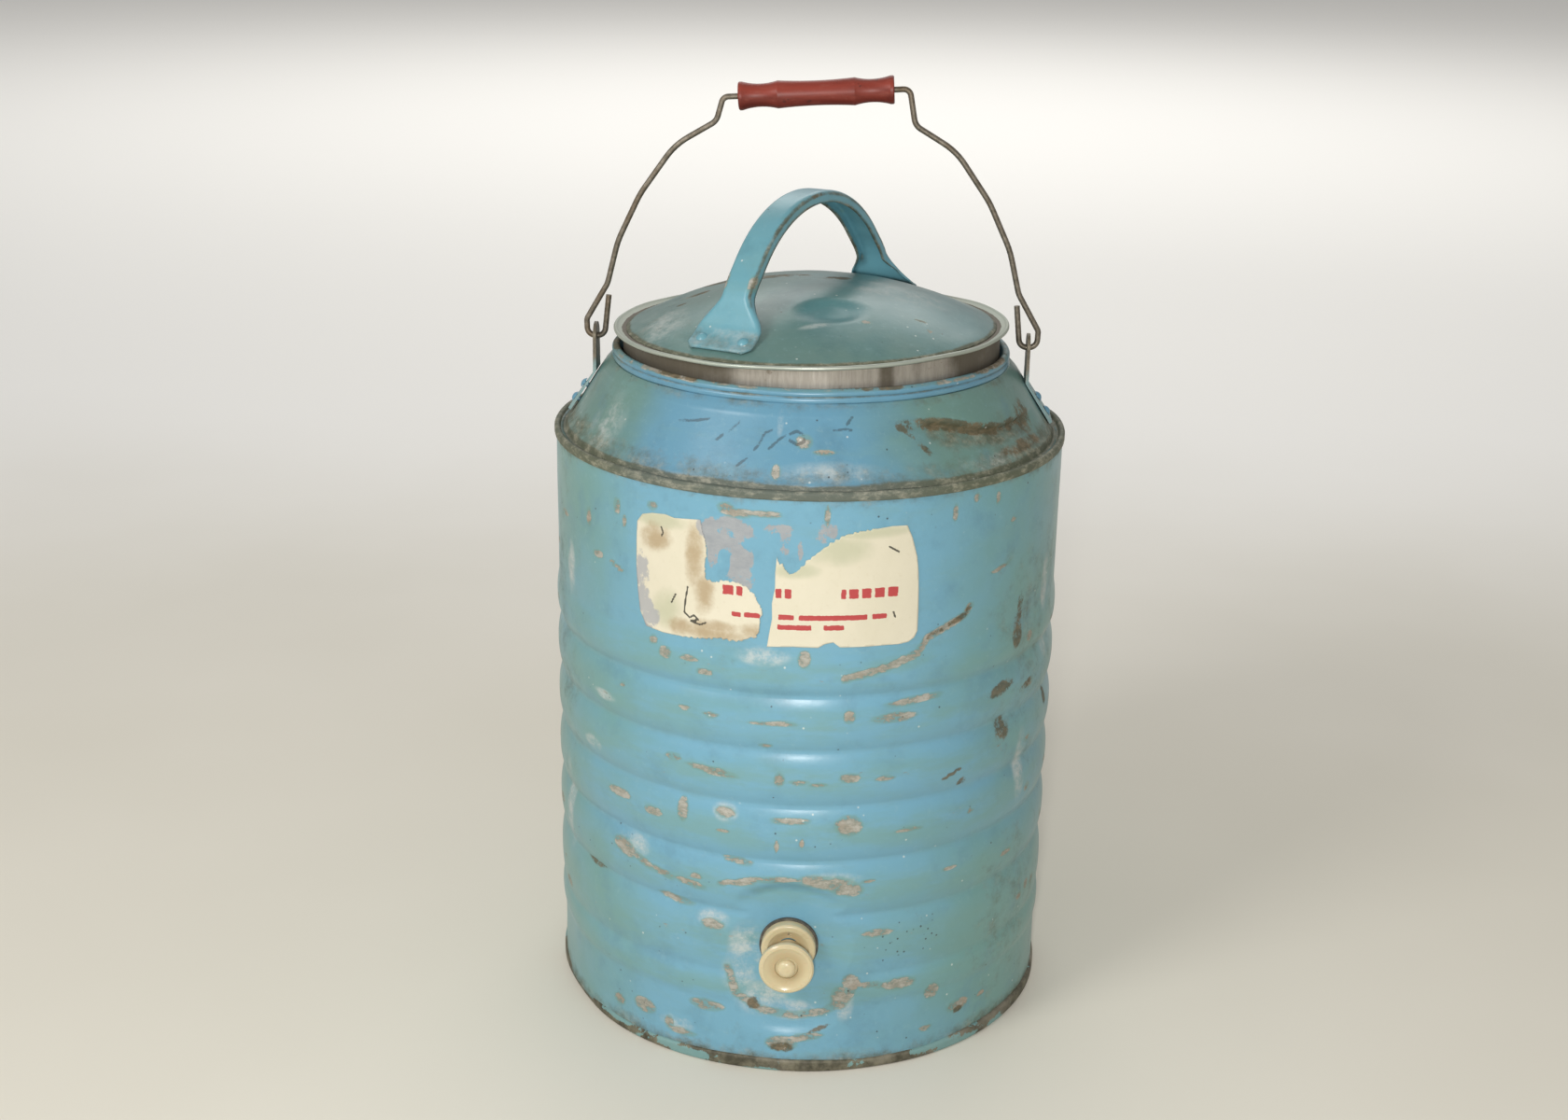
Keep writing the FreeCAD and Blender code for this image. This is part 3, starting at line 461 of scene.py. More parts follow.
def rim_material():
    """Rim worn down to dark stained metal, with specks of paint left."""
    s = Surface("worn_rim")
    rough_noise = s.noise(130.0, 5.0, 0.7)
    broad = s.noise(22.0, 4.0, 0.6)
    color = s.mix(s.step(rough_noise, 0.35, 0.7), (0.06, 0.055, 0.035), (0.19, 0.175, 0.12))
    color = s.mix(s.mul(s.step(broad, 0.5, 0.68), 0.7), color, (0.30, 0.27, 0.21))
    flakes = s.step(s.add(s.noise(75.0, 5.0, 0.75), s.mul(s.mark("paint_left"), 0.35)), 0.60, 0.64)
    color = s.mix(s.mul(flakes, 0.8), color, (0.20, 0.38, 0.38))
    s.bump(rough_noise, 0.3, 0.7)
    return s.finish(color, s.span(rough_noise, 0.45, 0.75), 0.25)


def band_material():
    """Bare galvanised band: brushed, with dark stain streaks and painted shade towards the sides."""
    s = Surface("galvanised_band")
    brush = s.noise(560.0, 4.0, 0.7, stretch=(1.0, 1.0, 0.10))
    blotch = s.noise(26.0, 5.0, 0.65)
    stain = s.step(s.add(s.mark("stain"), s.mul(s.sub(blotch, 0.5), 1.3)), 0.25, 0.95)
    color = s.mix(s.step(brush, 0.35, 0.7), (0.34, 0.315, 0.275), (0.44, 0.41, 0.365))
    # Dark where the stain mark is high: stain streaks, and painted shade towards the band's sides.
    color = s.mix(s.mul(stain, 0.85), color, (0.085, 0.07, 0.045))
    color = s.mix(s.mul(s.step(s.noise(90.0, 4.0, 0.7), 0.6, 0.68), 0.5), color, (0.13, 0.09, 0.05))
    color = s.mix(s.torn(s.mark("painted"), s.noise(70.0, 4.0, 0.7), 0.8, 0.1), color,
                  s.mix(blotch, (0.34, 0.40, 0.35), (0.50, 0.51, 0.44)))
    s.bump(brush, 0.08, 0.4)
    s.bump(blotch, 0.3, 0.4)
    return s.finish(color, s.add(s.span(brush, 0.30, 0.42), s.mul(stain, 0.25)), 0.55)


def sheet_material():
    """Dull galvanised sheet inside the tank and lid."""
    s = Surface("galvanised_inside")
    spangle = s.cells(90.0)
    stain = s.noise(14.0, 5.0, 0.6)
    color = s.mix(spangle, (0.36, 0.36, 0.35), (0.52, 0.52, 0.50))
    color = s.mix(s.mul(s.step(stain, 0.5, 0.72), 0.6), color, (0.24, 0.22, 0.18))
    s.bump(s.noise(60.0), 0.2, 0.4)
    return s.finish(color, s.span(stain, 0.35, 0.55), 0.7)


def wire_material():
    """Dark, slightly rusted drawn wire."""
    s = Surface("aged_wire")
    grain = s.noise(300.0, 4.0, 0.7)
    patch = s.noise(30.0, 4.0, 0.6)
    color = s.mix(s.step(grain, 0.3, 0.7), (0.11, 0.095, 0.07), (0.22, 0.19, 0.15))
    color = s.mix(s.mul(s.step(patch, 0.5, 0.65), 0.6), color, (0.13, 0.085, 0.045))
    color = s.mix(s.mul(s.step(grain, 0.6, 0.75), 0.5), color, (0.34, 0.31, 0.26))
    s.bump(grain, 0.12, 0.6)
    return s.finish(color, s.span(patch, 0.38, 0.6), 0.6)


def ear_material():
    """Strap ears: dark steel above, smeared with blue-grey paint lower down."""
    s = Surface("painted_ear")
    grain = s.noise(220.0, 4.0, 0.7)
    height = s.make("ShaderNodeSeparateXYZ", {0: s.where}, output=2)
    low = s.sub(1.0, s.step(s.add(height, s.mul(s.sub(grain, 0.5), 0.02)), 0.365, 0.375))
    color = s.mix(s.step(grain, 0.35, 0.7), (0.10, 0.085, 0.06), (0.22, 0.19, 0.14))
    color = s.mix(s.mul(low, 0.85), color, s.mix(grain, (0.17, 0.33, 0.34), (0.30, 0.42, 0.42)))
    s.bump(grain, 0.15, 0.6)
    return s.finish(color, s.span(grain, 0.4, 0.62), s.span(low, 0.5, 0.05))


def spring_material():
    s = Surface("spring_steel")
    grain = s.noise(500.0, 3.0)
    s.bump(grain, 0.03, 0.4)
    return s.finish(s.mix(grain, (0.42, 0.42, 0.41), (0.60, 0.60, 0.59)), s.span(grain, 0.25, 0.4), 0.9)


def plastic_material():
    """Yellowed cream plastic with a darker brown ring round the tap axis: dirt, and painted shade in the
    recess.
    """
    s = Surface("cream_plastic")
    mottle = s.noise(60.0, 3.0, 0.6)
    fine = s.noise(420.0, 3.0, 0.6)
    color = s.mix(mottle, (0.52, 0.43, 0.245), (0.62, 0.54, 0.35))
    color = s.mix(s.mul(s.step(fine, 0.6, 0.8), 0.3), color, (0.42, 0.31, 0.15))
    from_axis = s.make("ShaderNodeVectorMath", {0: s.place((1.0, 0.0, 1.0), (0.0, 0.0, -TAP_Z * MM))},
                       output=1, operation="LENGTH")
    # Brown ring round the tap axis: partly dirt, partly painted shade in the collar's recess and round the
    # button's nub.
    ring = s.mul(s.step(from_axis, 0.0048, 0.0066), s.sub(1.0, s.step(from_axis, 0.0066, 0.0125)))
    color = s.mix(s.mul(ring, 0.55), color, (0.34, 0.23, 0.10))
    s.bump(mottle, 0.15, 0.3)
    s.bump(fine, 0.04, 0.3)
    return s.finish(color, s.span(mottle, 0.22, 0.36), 0.0, Coat_Weight=0.15,
                    Subsurface_Weight=0.08, Subsurface_Scale=0.003)


def rubber_material():
    s = Surface("black_rubber")
    grain = s.noise(260.0, 4.0, 0.6)
    color = s.mix(s.step(grain, 0.4, 0.75), (0.06, 0.055, 0.045), (0.14, 0.13, 0.105))
    s.bump(grain, 0.1, 0.5)
    return s.finish(color, s.span(grain, 0.6, 0.85))


def fill_material():
    s = Surface("packed_fibre")
    fibre = s.noise(180.0, 6.0, 0.75, stretch=(1.0, 0.4, 1.0))
    s.bump(fibre, 0.8, 0.8)
    return s.finish(s.mix(fibre, (0.34, 0.25, 0.16), (0.62, 0.52, 0.38)), s.span(fibre, 0.8, 0.95))


def wood_material():
    """Dark red paint on a turned wooden grip."""
    s = Surface("red_wood")
    grain = s.noise(60.0, 5.0, 0.65, stretch=(0.12, 1.0, 1.0))
    fine = s.noise(330.0, 4.0, 0.65, stretch=(0.35, 1.0, 1.0))
    color = s.mix(s.step(grain, 0.35, 0.68), (0.11, 0.016, 0.010), (0.25, 0.040, 0.025))
    color = s.mix(s.mul(s.step(fine, 0.5, 0.75), 0.4), color, (0.27, 0.075, 0.055))
    dark = s.step(s.noise(150.0, 5.0, 0.7), 0.63, 0.70)
    color = s.mix(s.mul(dark, 0.7), color, (0.06, 0.015, 0.012))
    s.bump(grain, 0.25, 0.5)
    s.bump(fine, 0.06, 0.5)
    return s.finish(color, s.span(fine, 0.34, 0.5), 0.0, Specular_IOR_Level=0.32)


def paper_material():
    """Aged label: cream paper with brown stains, plain red bars and pen strokes."""
    s = Surface("label_paper")
    fibre = s.noise(420.0, 4.0, 0.6)
    cloud = s.noise(34.0, 4.0, 0.6)
    color = s.mix(cloud, (0.60, 0.56, 0.42), (0.70, 0.65, 0.52))
    color = s.mix(s.mul(s.step(fibre, 0.55, 0.8), 0.25), color, (0.52, 0.45, 0.30))
    green = s.step(s.add(s.mark("damp"), s.mul(s.sub(cloud, 0.5), 1.2)), 0.3, 0.9)
    color = s.mix(s.mul(green, 0.6), color, (0.40, 0.42, 0.27))
    stain = s.step(s.add(s.mark("stain"), s.mul(s.sub(s.noise(75.0, 5.0, 0.7), 0.5), 1.2)), 0.25, 0.95)
    color = s.mix(s.mul(stain, 0.75), color, (0.34, 0.235, 0.115))
    grey = s.torn(s.mark("grey"), s.noise(110.0, 5.0, 0.7), 1.3, 0.2)
    color = s.mix(s.mul(grey, 0.8), color, (0.33, 0.34, 0.36))
    print_red = s.torn(s.mark("print"), s.noise(500.0, 3.0), 0.5, 0.12)
    color = s.mix(s.mul(print_red, 0.95), color, (0.42, 0.022, 0.03))
    pen = s.step(s.mark("pen"), 0.45, 0.6)
    color = s.mix(s.mul(pen, 0.92), color, (0.03, 0.028, 0.02))
    s.bump(fibre, 0.05, 0.5)
    s.bump(cloud, 0.35, 0.5)
    return s.finish(color, s.span(fibre, 0.5, 0.7))


def floor_material():
    """Cream cloth near the object, running out into a white studio floor."""
    s = Surface("pale_floor")
    cloud = s.noise(2.2, 3.0)
    grain = s.noise(160.0, 3.0)
    near = s.mix(cloud, (0.66, 0.63, 0.54), (0.76, 0.725, 0.64))
    distance = s.make("ShaderNodeSeparateXYZ", {0: s.where}, output=1)
    away = s.step(s.add(distance, s.mul(cloud, 0.3)), 0.35, 1.5)
    color = s.mix(away, near, (0.93, 0.92, 0.89))
    s.bump(grain, 0.2, 0.15)
    return s.finish(color, 0.75)


BLUE = (0.155, 0.350, 0.465)
TURQUOISE = (0.150, 0.305, 0.285)
MATERIALS = {
    "barrel": paint_material("barrel_paint", BLUE, TURQUOISE),
    "shoulder": paint_material("shoulder_paint", (0.115, 0.275, 0.385), (0.125, 0.235, 0.205)),
    "dome": paint_material("lid_paint", (0.062, 0.190, 0.200), (0.105, 0.195, 0.175), 0.1),
    "handle": paint_material("handle_paint", (0.13, 0.33, 0.40), (0.14, 0.31, 0.33)),
    "rim": rim_material(),
    "band": band_material(),
    "sheet": sheet_material(),
    "wire": wire_material(),
    "ear": ear_material(),
    "spring": spring_material(),
    "plastic": plastic_material(),
    "rubber": rubber_material(),
    "fill": fill_material(),
    "wood": wood_material(),
    "paper": paper_material(),
}


def dress(obj, material, body, slot, *nodes):
    """Give a new piece its material and its place in the frame."""
    obj.data.materials.clear()
    obj.data.materials.append(MATERIALS[material])
    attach(obj, body)
    if nodes:
        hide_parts(*nodes)
    return obj


# ---------------------------------------------------------------- barrel
CHIPS = [
    (-28.5, 242.7, 3.5, 3.0), (-22.7, 242.1, 5.0, 1.5), (-19.1, 236.1, 4.5, 1.4),
    (-40.4, 216.3, 1.5, 1.2), (-31.7, 247.9, 2.5, 2.0), (2.1, 247.9, 3.0, 4.0),
    (26.1, 220.9, 15.0, 1.6, 3), (21.6, 212.9, 11.0, 2.5), (11.8, 215.1, 2.8, 3.2),
    (-17.6, 212.3, 4.0, 1.4), (-23.8, 213.5, 3.5, 1.0), (-3.8, 211.1, 12.0, 1.1, 2),
    (-5.7, 197.3, 3.5, 1.0), (-26.5, 183.3, 4.5, 1.8), (-17.2, 179.9, 13.0, 2.0, -6),
    (-2.6, 178.9, 2.5, 3.4), (1.6, 177.6, 5.0, 1.1), (5.6, 176.8, 4.3, 1.0),
    (12.2, 179.9, 5.0, 2.4), (20.0, 178.2, 5.0, 1.4), (-42.3, 150.0, 8.0, 2.4),
    (-31.9, 147.1, 5.5, 2.4), (-24.2, 153.2, 3.0, 6.0), (-14.3, 156.3, 5.0, 2.5),
    (-14.7, 145.6, 3.4, 1.0), (-0.2, 154.5, 9.5, 1.5), (12.3, 151.5, 6.5, 5.0),
    (25.9, 145.8, 7.7, 1.0), (41.9, 147.2, 2.0, 1.4), (-3.0, 139.3, 1.0, 3.5),
    (2.4, 141.8, 1.0, 2.5), (-11.5, 127.6, 7.7, 1.5, -6), (-40.4, 118.1, 8.0, 4.0, -14),
    (-34.7, 114.4, 7.0, 2.2, -18), (-29.4, 111.8, 7.0, 1.8, -12), (-20.8, 114.7, 3.4, 1.4),
    (-22.3, 110.0, 8.5, 1.8, -8), (-26.2, 96.9, 10.0, 2.0, -6), (-14.2, 114.2, 4.3, 1.4, 12),
    (-10.0, 116.2, 8.5, 1.8, 12), (-3.3, 119.0, 13.0, 1.5, 2), (6.8, 118.0, 10.0, 3.2, -10),
    (11.5, 115.1, 9.5, 4.5, -16), (17.0, 117.3, 3.5, 1.0), (36.8, 115.9, 4.3, 1.0),
    (-17.0, 87.1, 6.0, 2.6), (19.5, 84.8, 8.0, 1.8), (-18.4, 35.4, 9.0, 3.0),
    (-34.9, 22.2, 7.0, 4.0), (-43.1, 17.7, 4.0, 3.0), (-27.9, 17.5, 2.6, 3.4),
    (-24.6, 14.1, 8.5, 1.7), (-1.3, 17.1, 7.5, 4.0), (4.2, 21.6, 8.5, 2.0, 8),
    (11.5, 45.7, 4.3, 6.0), (13.5, 56.1, 3.5, 3.5), (19.2, 52.4, 10.0, 1.5, -8),
    (25.1, 50.7, 8.5, 3.0), (33.6, 40.4, 4.3, 4.3), (41.5, 24.8, 7.0, 3.4),
    (49.3, 24.8, 3.0, 1.4), (32.4, 17.2, 4.0, 1.2), (-42.3, 316.8, 2.5, 4.0),
    (-39.9, 309.6, 1.2, 3.0), (-32.0, 322.5, 3.0, 2.0), (-52.9, 303.9, 2.0, 5.0),
    (-49.2, 285.2, 4.0, 2.0), (-42.6, 282.7, 6.0, 1.0, -20), (-14.9, 328.3, 4.0, 2.0),
    (-12.2, 325.7, 8.0, 2.0), (-6.4, 326.1, 8.0, 1.2), (6.2, 326.3, 1.2, 5.0),
    (34.4, 322.5, 1.5, 4.0), (40.0, 328.7, 2.0, 2.0), (46.5, 325.6, 1.5, 3.0),
    (51.8, 310.6, 2.0, 1.5), (48.3, 285.5, 8.0, 1.0, 12),
]
RUST_SPOTS = [
    (50.6, 214.5, 11.0, 3.5, 10), (61.4, 208.6, 8.0, 2.5, 12), (75.2, 188.1, 3.0, 5.0),
    (52.1, 188.3, 5.5, 6.5), (57.0, 257.4, 3.0, 8.0), (55.5, 244.0, 5.0, 8.0),
    (39.6, 166.7, 3.4, 2.2, 30), (36.4, 173.4, 7.0, 0.9, 18), (-7.6, 40.4, 3.4, 3.4),
    (41.5, 22.0, 3.0, 2.0), (-1.3, 14.6, 6.0, 3.0), (6.9, 26.5, 6.5, 1.0, 24),
    (-52.0, 96.0, 9.0, 1.6), (98.0, 178.0, 12.0, 2.0, 5), (131.0, 146.0, 9.0, 3.0),
    (163.0, 30.0, 14.0, 4.0), (-117.0, 211.0, 10.0, 2.0), (-150.0, 20.0, 12.0, 4.0),
]
PALE_SPOTS = [
    (-9.5, 75.0, 9.0, 14.0), (-11.0, 58.0, 9.0, 12.0), (-6.0, 44.0, 13.0, 10.0), (1.0, 37.0, 12.0, 6.0),
    (-6.6, 248.5, 13.0, 5.0), (12.5, 42.0, 5.0, 10.0), (-17.0, 90.0, 9.0, 5.0),
    (-63.0, 268.0, 6.0, 14.0), (70.0, 262.0, 5.0, 16.0), (72.0, 225.0, 5.0, 10.0),
    (-14.3, 156.3, 7.0, 5.0), (-38.0, 122.0, 11.0, 6.0), (9.0, 118.5, 16.0, 4.5), (-52.0, 172.0, 8.0, 4.0),
    (-47.0, 205.0, 9.0, 3.0), (-26.0, 18.0, 10.0, 5.0), (60.0, 160.0, 6.0, 20.0), (-66.0, 120.0, 6.0, 26.0),
]
RESIDUE_SPOTS = [
    (-14.5, 313.5, 15.0, 8.5), (-12.4, 301.0, 8.0, 11.0), (-10.6, 291.0, 5.0, 6.0), (-17.2, 303.0, 3.5, 9.0),
    (-4.0, 318.5, 8.0, 3.0), (-2.2, 312.0, 3.0, 7.0), (6.0, 317.0, 6.0, 4.5, 35), (0.8, 308.0, 1.6, 5.0),
]
RESIDUE_HOLE = [(-14.9, 298.5, 3.2, 5.0)]
# Dirt patches on the sides and back. The two at azimuth 60 and 66 also paint in the shade of the barrel's
# right side.
GRUBBY_AND_SHADE_SPOTS = [
    (66, 235, 46, 90), (60, 70, 40, 60), (-70, 235, 30, 90), (150, 40, 60, 30), (-140, 200, 60, 60),
]
PANEL_SCUFF = [
    (-13.5, 62.0), (-11.5, 46.0), (-6.0, 36.5), (1.0, 33.5), (8.0, 36.5), (13.0, 45.5), (15.0, 56.0),
]
SCRATCH = [(10.6, 237.0), (15.0, 239.5), (20.2, 242.6), (26.4, 247.8), (28.8, 255.6),
           (34.5, 261.1), (38.2, 264.5), (39.3, 268.5)]
DENTS = [
    # azimuth, z, half length, half height, depth
    (-46.0, 140.0, 42.0, 24.0, 0.9), (-20.0, 92.0, 30.0, 16.0, 0.6), (52.0, 190.0, 18.0, 13.0, 1.2),
    (34.0, 62.0, 36.0, 20.0, 0.7), (63.0, 244.0, 17.0, 24.0, 1.4), (150.0, 205.0, 34.0, 22.0, 1.1),
    (-118.0, 118.0, 38.0, 26.0, 1.3), (104.0, 90.0, 28.0, 24.0, 1.0), (-72.0, 30.0, 26.0, 18.0, 1.2),
    (-160.0, 280.0, 30.0, 20.0, 0.9), (24.0, 206.0, 22.0, 12.0, 0.5),
]
CREST_Z = (77.0, 112.5, 145.5, 178.0, 210.0, 238.0)


def back_wear():
    """Chips along the crests and bruises on the sides and back, the same on every run."""
    dice = np.random.default_rng(11)
    marks = []
    for crest in CREST_Z:
        for phi in np.arange(62.0, 298.0, 17.0):
            length, height = dice.uniform(2.0, 11.0), dice.uniform(1.0, 2.8)
            marks.append((phi + dice.uniform(-8, 8), crest + dice.uniform(-4, 4), length, height))
    for _ in range(34):
        marks.append((dice.uniform(64, 296), dice.uniform(14, 328), dice.uniform(1.5, 6), dice.uniform(1, 4)))
    return [((m[0] + 180) % 360 - 180,) + m[1:] for m in marks]


def rib_radius(z):
    """Outside of the ribbed wall at height z."""
    r = np.full(np.shape(z), WALL_R)
    lows = (FIRST_RIB_LOW_Z,) + GROOVES_Z
    highs = GROOVES_Z + (GROOVES_Z[-1] + LAST_RIB_END_UP,)
    depths = (0.0,) + GROOVE_DEPTH + (0.0,)
    for k, (low, high) in enumerate(zip(lows, highs)):
        half = (high - low) / 2
        u = (z - low - half) / half
        foot_low = WALL_R if k == 0 else RIB_R - (RIB_R - VALLEY_R) * depths[k]
        foot_high = WALL_R if high == highs[-1] else RIB_R - (RIB_R - VALLEY_R) * depths[k + 1]
        foot = foot_low + (foot_high - foot_low) * (u + 1) / 2
        rib = foot + (RIB_R - foot) * (1 - np.abs(u) ** 2.5)
        r = np.where((z >= low) & (z < high), rib, r)
    return r


def wall_surface(phi, z):
    """Outside radius of the barrel with its flat tap panel, dents and waviness."""
    r = rib_radius(z)
    wave = ripple(np.radians(phi) * 3.0, z / 30.0, 3)
    r = r - 0.35 * (wave + 1) * 0.5
    u = arc_length(phi)
    for d_phi, d_z, long, high, depth in DENTS:
        du = (u - arc_length(d_phi) + math.pi * WALL_R) % (2 * math.pi * WALL_R) - math.pi * WALL_R
        r = r - depth * np.exp(-(du / long) ** 2 - ((z - d_z) / high) ** 2)
    a = np.radians(phi)
    in_front = np.abs(phi) < 60
    flat = PANEL_Y / np.maximum(np.cos(a), 0.5)
    distance = np.hypot(r * np.sin(a), z - PANEL_Z)
    inside = np.where(in_front, 1 - smooth(distance, PANEL_R - 5.0, PANEL_R + 4.0), 0.0)
    sunk = np.minimum(r, flat)
    return r + (sunk - r) * inside


def seam_dirt(z):
    return np.clip(smooth(z, 326.0, 337.0) * 0.6 + 0.8 * (1 - smooth(z, 4.0, 18.0)), 0, 1)


def make_barrel():
    phi = angles(0.9, 0.42, 40.0)
    heights = np.linspace(BARREL_LOW_Z, BARREL_TOP_Z, 205)
    inner_heights = heights[::-4]
    p_out, z_out = np.meshgrid(phi, heights)
    p_in, z_in = np.meshgrid(phi, inner_heights)
    outside = round_points(p_out, wall_surface(p_out, z_out), z_out)
    inside = round_points(p_in, np.minimum(wall_surface(p_in, z_in), VALLEY_R + 0.2) - 2.2, z_in)
    grid = np.concatenate([outside, inside])
    p = np.concatenate([p_out, p_in])
    z = np.concatenate([z_out, z_in])
    u = arc_length(p)
    crest = (rib_radius(z) - VALLEY_R) / (RIB_R - VALLEY_R)
    crest = np.clip(crest, 0, 1) ** 3 * (z < 252) * (z > 40)
    scratch = on_wall(SCRATCH)
    dark_scratch = strokes(u, z, scratch[4:], 1.6) * 0.8
    chipped = spots(u, z, on_wall(CHIPS + back_wear()))
    scuffed = strokes(u, z, on_wall(PANEL_SCUFF), 2.4) * 0.62
    grubby_and_shade = spots(u, z, on_wall(GRUBBY_AND_SHADE_SPOTS))
    values = {
        "chips": np.maximum.reduce([chipped, strokes(u, z, scratch, 1.9), scuffed]),
        "rust": np.maximum(spots(u, z, on_wall(RUST_SPOTS)), dark_scratch),
        "pale": spots(u, z, on_wall(PALE_SPOTS)),
        "residue": spots(u, z, on_wall(RESIDUE_SPOTS)) - spots(u, z, on_wall(RESIDUE_HOLE)),
        "dirt": seam_dirt(z) * 0.75 + 0.30 * grubby_and_shade,
        # More faded lower down and towards the sides. The darker, greener sides are also painted shade away
        # from the front.
        "fade": smooth(np.abs(p + 3), 14, 62) * 0.75 + 0.12 * smooth(z, 120, 30),
        "crest": crest,
        "specks": spots(u, z, on_wall([(28.0, 80.0, 22.0, 14.0), (-2.0, 147.0, 8.0, 5.0)])),
    }
    return dress(loop_grid("barrel_wall", grid, values), "barrel", "root", "paint", "barrel_shell")


# ---------------------------------------------------------------- base rim
def make_base():
    rim_in = BASE_R - 3.6
    steps = [(60.0, 7.0), (rim_in - 3, 7.0), (rim_in, 4.5), (rim_in, 1.0),
             (rim_in + 0.3, 0.3, rim_in + 1.0, 0.0), (BASE_R - 1.2, 0.0),
             (BASE_R - 0.35, 0.35, BASE_R, 1.2), (BASE_R, 4.4),
             (BASE_R - 0.4, 5.9, BASE_R - 2.6, 6.6), (BASE_R - 3.6, 8.2), (60.0, 8.2)]

    def shift(p, r, z):
        near_rim = smooth(r, rim_in - 4, rim_in)
        a = np.radians(p)
        wobble = 0.5 * ripple(a * 4, a * 0, 5) - 0.5
        dent = -2.2 * np.exp(-((p + 62.0) / 13.0) ** 2) - 1.2 * np.exp(-((p - 118.0) / 10.0) ** 2)
        high = 0.9 * ripple(a * 6, a * 0, 8) * smooth(z, 2.5, 5.0)
        return near_rim * (wobble + dent), near_rim * high

    phi = angles(0.8)
    ring = turned_ring("base_rim", steps, phi, 0.9, shift,
                       {"paint_left": lambda p, r, z: ripple(np.radians(p) * 9, z / 4, 2)})
    dress(ring, "rim", "root", "worn_rim", "base_pan")
    disc_steps = np.array([(0.0, 8.0), (20.0, 8.0), (40.0, 8.0), (60.4, 8.0), (60.4, 7.2),
                           (40.0, 7.2), (20.0, 7.2), (0.0, 7.2)])
    p, r = np.meshgrid(phi[::4], disc_steps[:, 0])
    z = np.repeat(disc_steps[:, 1][:, None], p.shape[1], 1)
    disc = pole_grid("base_disc", round_points(p, r, z))
    return ring, dress(disc, "sheet", "root", "worn_rim", "base_pan")


# ---------------------------------------------------------------- shoulder and neck
SHOULDER_INK = [
    [(-31.7, 363.9), (-27.0, 365.2), (-23.6, 366.9)], [(-15.4, 367.0), (-17.5, 362.5)],
    [(-19.0, 360.5), (-20.2, 358.0)], [(-13.8, 347.6), (-12.2, 351.0)],
    [(-10.5, 355.3), (-9.5, 358.6), (-8.5, 363.3), (-7.0, 364.5)],
    [(-7.2, 355.8), (-5.4, 360.0), (-3.6, 362.6)],
    [(-2.4, 363.3), (-0.8, 364.8), (0.9, 363.0), (1.0, 360.0), (-0.6, 358.6), (-2.4, 360.4)],
    [(8.0, 365.2), (11.1, 365.6), (12.3, 365.4)], [(11.6, 368.0), (12.8, 371.0)],
]
CREASE = [(25.0, 366.0), (36.1, 365.2), (48.0, 359.4), (56.1, 356.4), (72.0, 356.0)]
CREASE_FORK = [(25.0, 366.0), (28.7, 358.6), (31.5, 352.3)]


CONE_R = 127.0              # radius at which marks on the shoulder are measured


def shoulder_dent(p, z):
    """Depth of the big creased dent at the right of the shoulder."""
    crease_z = np.interp(p, [c[0] for c in CREASE], [c[1] for c in CREASE])
    along = smooth(p, 25.0, 38.0) * (1 - smooth(p, 66.0, 80.0))
    below = smooth(crease_z - z, -1.6, 0.8) * smooth(z, 340.0, crease_z - 0.5)
    above = 0.25 * (1 - smooth(z - crease_z, 0.0, 7.0)) * smooth(z - crease_z, -1.6, 0.8)
    return 3.6 * along * (below + above)


